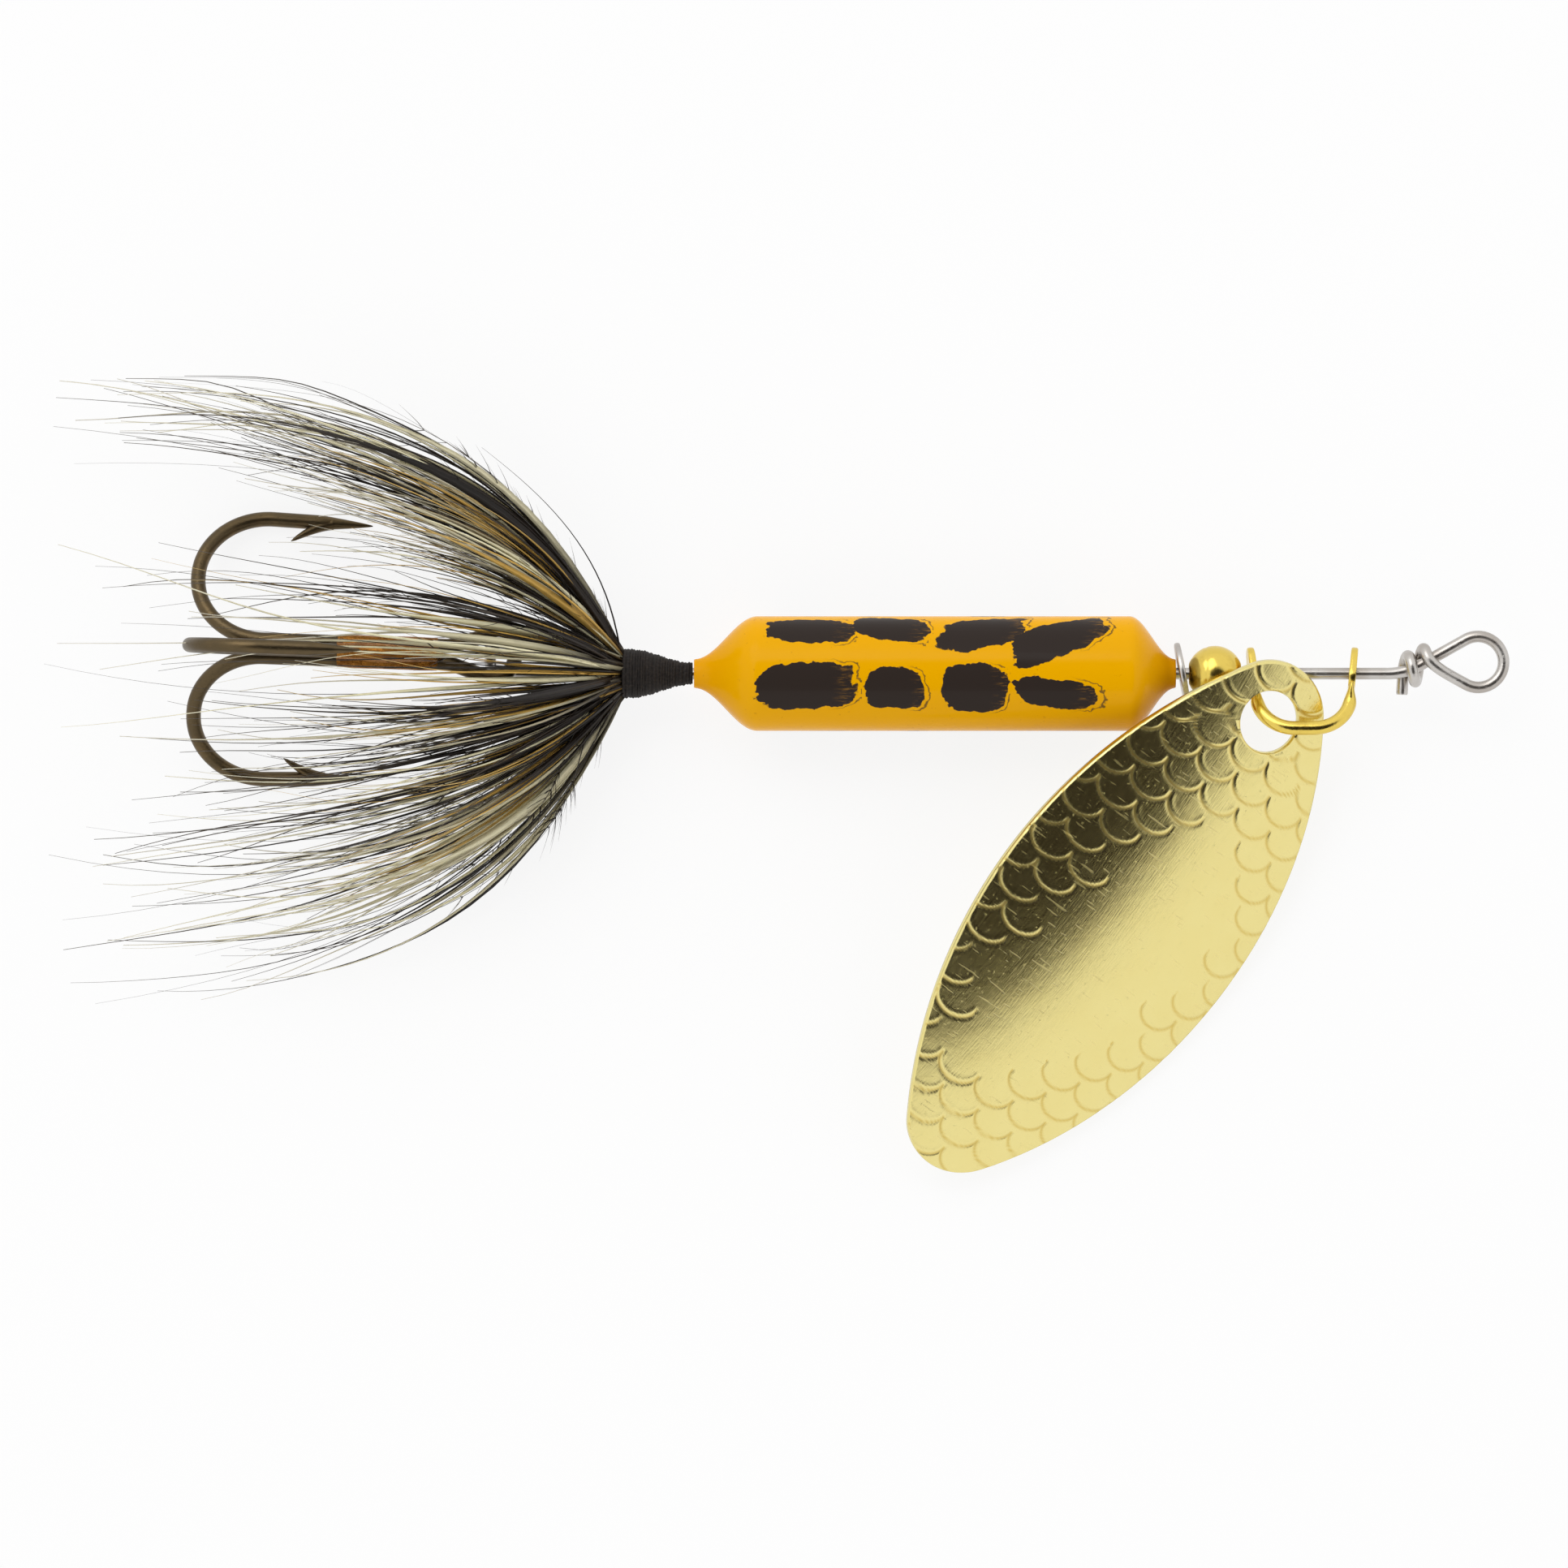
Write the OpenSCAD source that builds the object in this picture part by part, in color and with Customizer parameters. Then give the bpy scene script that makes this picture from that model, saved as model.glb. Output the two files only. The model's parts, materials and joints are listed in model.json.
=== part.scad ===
// Inline spinner: a wire shaft with a line-tie eye that carries a painted lead body, a washer,
// a bead and a clevis with a cupped blade, and a hackle-dressed treble hook on its rear loop.
// Millimetres. +X runs forwards along the shaft and +Z up from the surface that it lies on.
// The origin is on the shaft's axis, inside the line-tie eye.

/* [Shaft wire] */
// Diameter of the spring-steel wire
wire_d = 0.51; // [0.42:0.01:0.62]
// Radius of the line-tie eye, to the middle of the wire
eye_r = 1.1; // [0.95:0.01:1.3]
// Straight run of wire from the wraps to the round of the eye
eye_neck = 2.13; // [1.8:0.01:2.6]
// Slack of the closing wraps round the shaft
wrap_slack = 0.11; // [0.05:0.01:0.2]
// Space between one closing wrap and the next
wrap_space = 0.16; // [0.1:0.01:0.3]
// Bare shaft between the wraps and the clevis, which lets the clevis slide
shaft_play = 1.8; // [1.2:0.1:4]
// Length of the rear loop behind the thread
loop_len = 5.65; // [4.7:0.05:7]
// Room that the rear loop leaves on each side of the hook's wire
loop_room = 0.395; // [0.35:0.005:0.6]
// Angle of the rear loop about the shaft
loop_tilt = 52; // [48:1:60]

/* [Lead body] */
// Length of the lead body
body_len = 20.76; // [15:0.1:28]
// Largest diameter of the lead body
body_d = 4.95; // [4:0.05:6]
// Diameter of the two end faces
body_end_d = 1.25; // [1:0.05:1.6]
// Length of the rear shoulder
rear_shoulder = 2.75; // [2:0.05:4]
// Length of the front shoulder
front_shoulder = 2.0; // [1.5:0.05:3]

/* [Thread wrap] */
// Length of the thread wrap behind the body
thread_len = 3.07; // [2.8:0.05:4]
// Depth of thread over the doubled wire at its rear end
thread_rear_t = 0.265; // [0.2:0.005:0.45]
// Depth of thread over the shaft at its front end
thread_front_t = 0.225; // [0.15:0.005:0.35]

/* [Washer and bead] */
// Outer diameter of the thrust washer
washer_d = 2.7; // [2.2:0.05:3.4]
// Thickness of the thrust washer
washer_t = 0.25; // [0.2:0.01:0.35]
// Lean of the washer on the wire
washer_lean = 10; // [0:1:12]
// Diameter of the bead
bead_d = 2.4; // [2:0.05:2.9]

/* [Clevis] */
// Distance between the two ears along the shaft
clevis_span = 4.3; // [3.6:0.05:5.2]
// Depth of the bow below the shaft, to the middle of the wire
clevis_depth = 2.73; // [2.6:0.01:3.3]
// Diameter of the clevis wire
clevis_wire_d = 0.6; // [0.45:0.01:0.62]
// Thickness of the flattened ears
ear_t = 0.3; // [0.24:0.01:0.36]
// Width of the flattened ears
ear_w = 1.5; // [1.4:0.05:1.8]
// Lean of each ear away from the middle of the clevis
ear_splay = 6; // [3:1:8]
// Turn of the clevis about the shaft
clevis_turn = 30.6; // [25:0.1:36]

/* [Blade] */
// Length of the blade
blade_len = 26.7; // [22:0.1:32]
// Width of the blade
blade_w = 12.1; // [10:0.1:14.6]
// Radius of its two round ends
blade_end_r = 2.6; // [2.3:0.05:3.1]
// Thickness of the sheet
blade_t = 0.4; // [0.3:0.01:0.48]
// Radius of the cup along the blade
cup_long_r = 60; // [50:1:80]
// Radius of the cup across the blade
cup_cross_r = 17; // [14:0.5:24]
// Diameter of the hole for the clevis
blade_hole_d = 2.66; // [2.4:0.01:3]
// Heading, roll and dip of the blade as it lies
blade_heading = 233; // [225:1:240]
blade_roll = -22.2; // [-26:0.1:-20]
blade_dip = 4.4; // [2:0.1:6]

/* [Treble hook] */
// Diameter of the hook wire
hook_wire_d = 0.64; // [0.5:0.01:0.66]
// Distance from the loop's bar back to the outside of the bends
hook_len = 12.75; // [11:0.05:16]
// Gap of each hook, from shank to arm, wire middle to wire middle
hook_gap = 6.2; // [5:0.05:7.2]
// Distance from the loop's bar back to the points
point_back = 5.35; // [4:0.05:7]
// Inward lean of the arms over their length
arm_lean = 0.3; // [0:0.05:0.6]
// Room round the loop's bar in the hook's eye
hook_eye_room = 0.125; // [0.1:0.005:0.2]
// Yaw of the hook as it lies
hook_yaw = -2; // [-5:1:5]

/* [Hackle] */
// Length of the hackle behind the thread
hackle_len = 24.2; // [18:0.1:30]
// Radius that the bell of hackle opens to
hackle_r = 13.1; // [10.5:0.1:16]
// Distance behind the thread over which the bell opens
hackle_opening = 4.8; // [4:0.1:6]

/* [Hidden] */
$fn = 96;

// Fits: radial clearances on the wire and spaces between neighbours
tied_fit = 0.01;
body_fit = 0.045;
loose_fit = 0.14;
face_gap = 0.04;
wire_sides = 12;

wire_r = wire_d / 2;
hook_wire_r = hook_wire_d / 2;
wrap_r = wire_d + wrap_slack;
wrap_pitch = wire_d + wrap_space;
loop_half_w = wire_r + hook_wire_r + loop_room;
hook_eye_half_w = (wire_r + hook_wire_r + hook_eye_room) / sin(loop_tilt);

// Line-tie eye: the shaft rises over lift_len, runs straight, rounds the eye and wraps back
wrap_x = -1.8;
wrap_first = 60;
wrap_last = -450;
lift_len = 1.5;
lift_rise = 0.42;
lift_x = wrap_x - 0.15 - lift_len;
lift_angle = atan(2 * lift_rise / lift_len);
tag_len = 1.0;
wraps_back = wrap_x - wrap_pitch * (wrap_first - wrap_last) / 360 - wire_r;

// Stations along the shaft, from the eye backwards
ear_f_x = wraps_back - shaft_play - ear_t / 2;
ear_r_x = ear_f_x - clevis_span;
bead_bore_r = wire_r + 0.12;
bead_half = sqrt(pow(bead_d / 2, 2) - pow(bead_bore_r, 2));
bead_x = ear_r_x - ear_t / 2 - 0.35 - bead_half;
washer_bore_r = wire_r + loose_fit;
washer_reach = (washer_t / 2 + body_end_d / 2 * sin(washer_lean)) / cos(washer_lean);
washer_x = bead_x - bead_half - 0.04 - washer_reach;
body_front = washer_x - washer_reach - face_gap;
body_rear = body_front - body_len;
thread_front = body_rear - face_gap;
thread_rear = thread_front - thread_len;
bar_x = thread_rear - loop_len;

// The whole spinner lies on its body, so the hook's axis stands at its own height
floor_z = -body_d / 2;
prong_angle = 30;
shank_off = (hook_wire_d / 2 + 0.045) / cos(prong_angle);
arm_off = shank_off + hook_gap;
hook_z = floor_z + arm_off * sin(prong_angle) + hook_wire_r;
eye_z = hook_z - shank_off * sin(prong_angle);
eye_y = eye_z / tan(loop_tilt);
bar_w = eye_z / sin(loop_tilt);
leg_gap = wire_d + 0.05;
leg_end = thread_rear + 1.2;
thread_r = leg_gap + wire_r + thread_rear_t;
thread_front_r = wire_r + thread_front_t;

// Blade: the two sides are arcs that run tangent into the round ends
blade_e = blade_len / 2 - blade_end_r;
blade_half_w = blade_w / 2;
side_r = (pow(blade_e, 2) + pow(blade_half_w, 2) - pow(blade_end_r, 2))
         / (2 * (blade_half_w - blade_end_r));
side_sweep = asin(blade_e / (side_r - blade_end_r));
cup_rise = cup_long_r - sqrt(pow(cup_long_r, 2) - pow(blade_e, 2));
hole_lean = asin(blade_e / cup_long_r);
bow_corner_r = 1.6;
blade_at = [ear_r_x + 0.617, -clevis_depth * cos(clevis_turn) + 0.28,
            clevis_depth * sin(clevis_turn) - 0.21];

steel = [0.72, 0.71, 0.68];
brass = [0.86, 0.78, 0.45];
bronze = [0.36, 0.31, 0.24];

function unit(v) = v / norm(v);

// Direction of a path at each of its points
function tangents(p) =
    [for (i = [0:len(p) - 1]) unit(p[min(i + 1, len(p) - 1)] - p[max(i - 1, 0)])];

// The first normal carried along the path without twist
function carried(t, up) =
    [for (i = 0, n = unit(up - t[0] * (up * t[0])); i < len(t);
          n = i + 1 < len(t) ? unit(n - t[i + 1] * (n * t[i + 1])) : n, i = i + 1) n];

// Arc of radius r that rounds the corner b between a and c, or b itself on a straight run
function corner(a, b, c, r, steps) =
    let (u = unit(a - b), v = unit(c - b), half = acos(max(-1, u * v)) / 2, turn = 180 - 2 * half)
    turn < 0.5 ? [b] :
    let (centre = b + unit(u + v) * r / sin(half),
         p = b + u * r / tan(half) - centre, q = b + v * r / tan(half) - centre)
    [for (i = [0:steps]) let (f = turn * i / steps)
        centre + (p * sin(turn - f) + q * sin(f)) / sin(turn)];

// Straight runs through the points, with the corner at each inner point rounded
function rounded(p, radii, steps = 10) =
    concat([p[0]],
           [for (i = [1:len(p) - 2]) each corner(p[i - 1], p[i], p[i + 1], radii[i - 1], steps)],
           [p[len(p) - 1]]);

function bezier(a, b, c, d, steps) =
    [for (i = [1:steps - 1]) let (f = i / steps, g = 1 - f)
        g * g * g * a + 3 * g * g * f * b + 3 * g * f * f * c + f * f * f * d];

// A tube along a path, with its own radius at each point; flat widens it along its normal
module tube(path, radii, up = [0, 0, 1], flat = 1, sides = wire_sides) {
    t = tangents(path);
    n = carried(t, up);
    last = len(path) - 1;
    points = [for (i = [0:last]) for (j = [0:sides - 1])
        path[i] + radii[i] * (n[i] * flat * cos(360 * j / sides)
                              + cross(t[i], n[i]) * sin(360 * j / sides))];
    sides_a = [for (i = [0:last - 1]) for (j = [0:sides - 1])
        [i * sides + j, (i + 1) * sides + j, (i + 1) * sides + (j + 1) % sides]];
    sides_b = [for (i = [0:last - 1]) for (j = [0:sides - 1])
        [i * sides + j, (i + 1) * sides + (j + 1) % sides, i * sides + (j + 1) % sides]];
    caps = [[for (j = [0:sides - 1]) j], [for (j = [sides - 1:-1:0]) last * sides + j]];
    polyhedron(points, concat(sides_a, sides_b, caps), convexity = 6);
}

module along_x(x, r, length) {
    translate([x, 0, 0]) rotate([0, 90, 0]) cylinder(r = r, h = length);
}

// Turned about the shaft: the outline's x runs along the shaft and its y is the radius
module turned() {
    rotate([0, 90, 0]) rotate_extrude() rotate([0, 0, 90]) children();
}

// Rise from 0 to 1 as a half wave
function swell(f) = (1 - cos(180 * max(0, min(1, f)))) / 2;

// ---- Shaft wire ----

function lift(x) = lift_rise * pow(max(0, x - lift_x) / lift_len, 2);

function wrap_point(a) =
    let (x = wrap_x - wrap_pitch * (wrap_first - a) / 360)
    [x, lift(x) + wrap_r * cos(a), wrap_r * sin(a)];

function line_tie_path() =
    let (lift_top = [lift_x + lift_len, lift_rise, 0],
         run = [cos(lift_angle), sin(lift_angle), 0],
         centre = lift_top + eye_neck * run + eye_r * [run[1], -run[0], 0],
         first = 90 + lift_angle,
         rise_z = wrap_r * 0.4,
         eye_end = centre + [eye_r * cos(first), -eye_r * sin(first), rise_z],
         eye_dir = [-run[0], run[1], 0.1],
         wrap_start = wrap_point(wrap_first),
         wrap_dir = unit(wrap_point(wrap_first - 1) - wrap_start),
         wrap_end = wrap_point(wrap_last))
    concat([for (i = [0:8]) let (x = lift_x - 0.3 + (lift_len + 0.3) * i / 8) [x, lift(x), 0]],
           [for (i = [0:20]) let (a = first - 2 * first * i / 20)
               centre + [eye_r * cos(a), eye_r * sin(a), rise_z * swell(i / 20)]],
           bezier(eye_end, eye_end + 0.8 * eye_dir, wrap_start - 0.6 * wrap_dir, wrap_start, 9),
           [for (a = [wrap_first:-15:wrap_last]) wrap_point(a)],
           [wrap_end + tag_len * unit([-0.05, -1, 0])]);

function rear_loop_path() =
    [for (p = rounded([[thread_rear + 0.3, 0], [thread_rear - 0.15, 0],
                       [bar_x, bar_w - loop_half_w], [bar_x, bar_w + loop_half_w],
                       [bar_x + loop_len / 3, bar_w + loop_half_w * 0.95],
                       [thread_rear - 0.1, leg_gap], [leg_end, leg_gap]],
                      [1.2, 0.5, 0.5, 1.5, 0.7]))
        [p[0], p[1] * cos(loop_tilt), p[1] * sin(loop_tilt)]];

// The end of each bent stretch starts inside the straight shaft, a little slimmer than it
module bent_wire(path) {
    tube(path, [for (i = [0:len(path) - 1]) i == 0 ? wire_r * 0.96 : wire_r * 0.995]);
}

module shaft_wire() color(steel) {
    along_x(thread_rear + 0.05, wire_r, lift_x - thread_rear - 0.1);
    bent_wire(line_tie_path());
    bent_wire(rear_loop_path());
}

module thread_wrap() color([0.13, 0.12, 0.11]) difference() {
    turned() polygon(concat(
        [for (i = [0:16]) let (f = i / 16)
            [thread_front - thread_len * f,
             thread_front_r + (thread_r - thread_front_r) * swell(f / 0.9)]],
        [[thread_rear, 0], [thread_front, 0]]));
    along_x(thread_rear - 1, wire_r + tied_fit, thread_len + 2);
    rotate([loop_tilt, 0, 0]) translate([0, leg_gap, 0])
        along_x(thread_rear - 1, wire_r + tied_fit, leg_end - thread_rear + 1.05);
}

// ---- Body, washer and bead ----

function body_outline() =
    let (end_r = body_end_d / 2, grow = body_d / 2 - end_r)
    concat([for (i = [0:14]) [body_rear + rear_shoulder * i / 14, end_r + grow * swell(i / 14)]],
           [for (i = [0:14]) [body_front - front_shoulder * (1 - i / 14),
                              end_r + grow * swell(1 - i / 14)]],
           [[body_front, 0], [body_rear, 0]]);

module lead_body() color([0.96, 0.66, 0.08]) difference() {
    turned() polygon(body_outline());
    along_x(body_rear - 1, wire_r + body_fit, body_len + 2);
}

module thrust_washer() color(steel)
    translate([washer_x, 0, 0]) rotate([0, 90, washer_lean]) difference() {
        cylinder(d = washer_d, h = washer_t, center = true);
        cylinder(r = washer_bore_r, h = washer_t + 1, center = true);
    }

module bead() color(brass) difference() {
    translate([bead_x, 0, 0]) sphere(d = bead_d);
    along_x(bead_x - bead_d, bead_bore_r, 2 * bead_d);
}

// ---- Clevis ----

// A flattened ear, square to the shaft before it leans
module ear(side) {
    rotate([0, 0, side * ear_splay]) rotate([0, 90, 0]) linear_extrude(ear_t, center = true) {
        translate([0, 0.45]) circle(d = ear_w);
        translate([-ear_w / 2, -0.55]) square([ear_w, 1]);
        translate([-ear_w / 3, -0.9]) square([ear_w * 2 / 3, 0.6]);
    }
}

function clevis_path() =
    let (lean = tan(ear_splay), top = 0.6, ramp = 1.05)
    rounded([[ear_r_x + top * lean, -top], [ear_r_x + ramp * lean, -ramp],
             [ear_r_x + clevis_depth * lean, -clevis_depth],
             [ear_f_x - clevis_depth * lean, -clevis_depth],
             [ear_f_x - ramp * lean, -ramp], [ear_f_x - top * lean, -top]],
            [1, bow_corner_r, bow_corner_r, 1]);

module clevis() color(brass) rotate([-clevis_turn, 0, 0]) difference() {
    bow = [for (p = clevis_path()) [p[0], p[1], 0]];
    union() {
        translate([ear_r_x, 0, 0]) ear(1);
        translate([ear_f_x, 0, 0]) ear(-1);
        tube(bow, [for (p = bow) min(clevis_wire_d / 2, ear_t * 0.4 - (p[1] + 0.6) * 0.35)]);
    }
    along_x(ear_r_x - 1, wire_r + loose_fit, clevis_span + 2);
}

// ---- Blade ----

// Outline: two end arcs and two side arcs, with the hole's centre at the origin
function blade_outline() =
    let (end = 90 - side_sweep, sink = side_r - blade_half_w)
    [for (q = concat(
        [for (i = [0:12]) let (a = -end + 2 * end * i / 12)
            [blade_e + blade_end_r * cos(a), blade_end_r * sin(a)]],
        [for (i = [1:23]) let (a = end + 2 * side_sweep * i / 24)
            [side_r * cos(a), side_r * sin(a) - sink]],
        [for (i = [0:12]) let (a = 180 - end + 2 * end * i / 12)
            [-blade_e + blade_end_r * cos(a), blade_end_r * sin(a)]],
        [for (i = [1:23]) let (a = 180 + end + 2 * side_sweep * i / 24)
            [side_r * cos(a), side_r * sin(a) + sink]]))
        [q[0] + blade_e, q[1]]];

// A band of a torus: its tube is the cup across the blade and its ring the cup along it
module cup() {
    half = 2 + asin(blade_len / 2 / cup_long_r);
    $fn = 720;
    rotate([90, 0, 0]) rotate([0, 0, 90 - half]) rotate_extrude(angle = 2 * half)
        intersection() {
            translate([cup_long_r - cup_cross_r, 0]) difference() {
                circle(cup_cross_r + blade_t / 2);
                circle(cup_cross_r - blade_t / 2);
            }
            translate([cup_long_r - cup_cross_r / 2, -blade_half_w - 1])
                square([cup_cross_r, blade_w + 2]);
        }
}

module blade() color(brass)
    translate(blade_at) rotate([blade_roll, blade_dip, blade_heading]) difference() {
        intersection() {
            translate([blade_e, 0, cup_rise - cup_long_r]) cup();
            translate([0, 0, -6]) linear_extrude(12) polygon(blade_outline());
        }
        rotate([0, -hole_lean, 0]) cylinder(d = blade_hole_d, h = 6, center = true);
    }

// ---- Treble hook, in its own frame: the loop's bar at the origin, the shank along -X ----

// A point u behind the bar and v out from the hook's axis, towards angle a
function hook_point(u, v, a) =
    [-u, v * cos(a), v * sin(a) + shank_off * sin(prong_angle)];

taper_len = 1.7;

// The arm's point, its full thickness and the bend's two corners
function prong(a) =
    let (lean = arm_lean / (hook_len - point_back))
    [hook_point(point_back, arm_off - arm_lean, a),
     hook_point(point_back + taper_len, arm_off - arm_lean + taper_len * lean, a),
     hook_point(hook_len, arm_off, a),
     hook_point(hook_len, shank_off, a)];

// Radius of the wire near a point
function sharpened(p, tip) =
    min(hook_wire_r, 0.03 + (hook_wire_r - 0.03) * norm(p - tip) / taper_len);

// A barb sliced up from the inside of the arm, leaning back from the point
module barb(a) {
    back = point_back + 2.3;
    inner = arm_off - arm_lean * 0.7 - hook_wire_r;
    translate([0, 0, shank_off * sin(prong_angle)]) rotate([a, 0, 0])
        translate([0, 0, -0.12]) linear_extrude(0.24)
            polygon([[-back, inner + 0.15], [-back - 1.3, inner - 0.36],
                     [-back - 0.9, inner + 0.15]]);
}

function double_path() =
    let (right = prong(-prong_angle), left = prong(180 + prong_angle), s = shank_off * cos(prong_angle),
         w = hook_eye_half_w, bend = hook_gap / 2 * 0.965)
    rounded([right[0], right[1], right[2], right[3],
             [-1.75, s, 0], [-0.15, w, 0], [1.05, w, 0], [1.05, -w, 0], [-0.15, -w, 0],
             [-1.75, -s, 0], left[3], left[2], left[1], left[0]],
            [20, bend, bend, 1, 1, w - 0.02, w - 0.02, 1, 1, bend, bend, 20]);

module on_bar() {
    translate([bar_x, eye_y, eye_z]) rotate([0, 0, hook_yaw]) children();
}

module double_hook() color(bronze) on_bar() {
    path = double_path();
    tips = [path[0], path[len(path) - 1]];
    tube(path, [for (p = path) min(sharpened(p, tips[0]), sharpened(p, tips[1]))], up = [1, 1, 1]);
    barb(-prong_angle);
    barb(180 + prong_angle);
}

single_start = 2.85;

module single_hook() color(bronze) on_bar() {
    arm = prong(90);
    path = rounded([arm[0], arm[1], arm[2], arm[3], hook_point(single_start, shank_off, 90)],
                   [20, hook_gap / 2 * 0.965, hook_gap / 2 * 0.965]);
    tube(path, [for (p = path) sharpened(p, path[0])], up = [0, 1, 0]);
    barb(90);
}

// Braze that has run in between the three shanks
module braze_joint() color([0.6, 0.42, 0.16]) on_bar() {
    start = 1.95;
    length = 4.9;
    translate([-start - length, 0, shank_off * sin(prong_angle)]) difference() {
        turned() polygon(concat(
            [for (i = [0:12]) [length * i / 12, shank_off * (0.7 + 0.9 * sin(180 * i / 12))]],
            [[length, 0], [0, 0]]));
        for (a = [-prong_angle, 90, 180 + prong_angle])
            rotate([a, 0, 0]) translate([0, shank_off, 0])
                along_x(-1, hook_wire_r + tied_fit, length + 2);
    }
}

// ---- Hackle ----

// Angle about the shaft, share of the full length and share of the full radius of each tuft
tufts = [[-20, 0.93, 1.0], [5, 0.97, 0.99], [30, 0.9, 0.98], [57, 0.88, 0.9], [82, 0.93, 0.85],
         [107, 0.9, 0.86], [132, 0.92, 0.93], [156, 1.0, 0.99], [180, 0.95, 1.04],
         [203, 0.9, 1.08]];
root_r = thread_r - 0.11;

// The bell: the radius opens quickly behind the thread and then levels out
function bell(back, r) = root_r + (r - root_r) * (1 - exp(-back / hackle_opening));

function tuft_path(a, length, r) =
    [for (i = [0:12]) let (back = length * pow(i / 12, 1.5), out = bell(back, r),
                           drop = sin(a) < 0 ? -1 : 0)
        [thread_rear - 0.12 - back, out * cos(a),
         drop < 0 ? max(out * sin(a), floor_z + 0.45) : out * sin(a)]];

module hackle_tuft(i) color(i % 2 == 0 ? [0.12, 0.1, 0.08] : [0.78, 0.68, 0.46]) {
    a = tufts[i - 1][0];
    path = tuft_path(a, hackle_len * tufts[i - 1][1], hackle_r * tufts[i - 1][2]);
    last = len(path) - 1;
    tube(path, [for (k = [0:last]) 0.08 + 0.22 * sin(180 * k / last)],
         up = [0, -sin(a), cos(a)], flat = 2, sides = 8);
}

shaft_wire();
thread_wrap();
lead_body();
thrust_washer();
bead();
clevis();
blade();
double_hook();
single_hook();
braze_joint();
for (i = [1:len(tufts)])
    hackle_tuft(i);
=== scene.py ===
import json
import math

import bmesh
import bpy
import numpy as np
from bpy.props import FloatProperty, FloatVectorProperty, IntProperty, PointerProperty
from bpy.types import Operator, Panel, PropertyGroup
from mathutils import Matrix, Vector


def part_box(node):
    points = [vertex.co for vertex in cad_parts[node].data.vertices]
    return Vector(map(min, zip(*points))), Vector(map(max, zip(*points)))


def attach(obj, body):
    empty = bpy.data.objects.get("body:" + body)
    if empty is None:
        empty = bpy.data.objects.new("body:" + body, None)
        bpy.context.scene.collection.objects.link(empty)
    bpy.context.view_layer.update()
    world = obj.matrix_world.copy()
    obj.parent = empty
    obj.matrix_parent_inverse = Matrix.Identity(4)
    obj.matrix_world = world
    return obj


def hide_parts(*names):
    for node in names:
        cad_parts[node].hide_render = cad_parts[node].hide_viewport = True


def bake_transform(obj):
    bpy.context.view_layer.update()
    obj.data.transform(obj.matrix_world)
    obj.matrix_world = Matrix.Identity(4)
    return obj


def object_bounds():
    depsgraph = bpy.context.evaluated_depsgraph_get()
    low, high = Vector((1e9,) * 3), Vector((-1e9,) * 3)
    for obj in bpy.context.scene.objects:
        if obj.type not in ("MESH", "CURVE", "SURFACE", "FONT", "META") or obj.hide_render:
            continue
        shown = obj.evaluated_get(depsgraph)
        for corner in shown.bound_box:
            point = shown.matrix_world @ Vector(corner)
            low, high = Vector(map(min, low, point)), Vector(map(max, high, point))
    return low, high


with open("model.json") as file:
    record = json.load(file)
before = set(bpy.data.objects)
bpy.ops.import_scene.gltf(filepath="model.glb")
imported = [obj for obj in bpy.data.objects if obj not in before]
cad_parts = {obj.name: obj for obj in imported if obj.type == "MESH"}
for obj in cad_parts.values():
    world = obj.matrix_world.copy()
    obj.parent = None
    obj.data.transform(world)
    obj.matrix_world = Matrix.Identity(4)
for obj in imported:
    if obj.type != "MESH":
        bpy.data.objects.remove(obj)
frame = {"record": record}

bl_info = {
    "name": "Inline Spinner",
    "version": (1, 0, 0),
    "blender": (4, 5, 0),
    "location": "View3D > Sidebar > Spinner",
    "description": "Fishing spinner with a painted body, a stamped blade and a hackled treble hook",
    "category": "Object",
}

CAD_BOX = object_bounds()
JOINTS = {joint["name"]: joint for joint in frame["record"]["behaviour"]["joints"]}
MM = 0.001


def shade(red, green, blue):
    """Linear colour of three screen levels from 0 to 255."""
    levels = np.array((red, green, blue)) / 255
    linear = np.where(levels < 0.04045, levels / 12.92, ((levels + 0.055) / 1.055) ** 2.4)
    return tuple(float(v) for v in linear)


# ---- Sizes and colours ----


def length(name, description, millimetres):
    """A length in metres, written here in millimetres."""
    return FloatProperty(name=name, description=description, default=millimetres * MM,
                         min=0, precision=5, subtype="DISTANCE", unit="LENGTH")


def angle(name, description, degrees):
    """An angle in radians, written here in degrees."""
    return FloatProperty(name=name, description=description, default=math.radians(degrees),
                         subtype="ANGLE", unit="ROTATION")


def colour(name, description, red, green, blue):
    """A colour written as screen levels."""
    return FloatVectorProperty(name=name, description=description, subtype="COLOR", size=3,
                               min=0, max=1, default=shade(red, green, blue))


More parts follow.
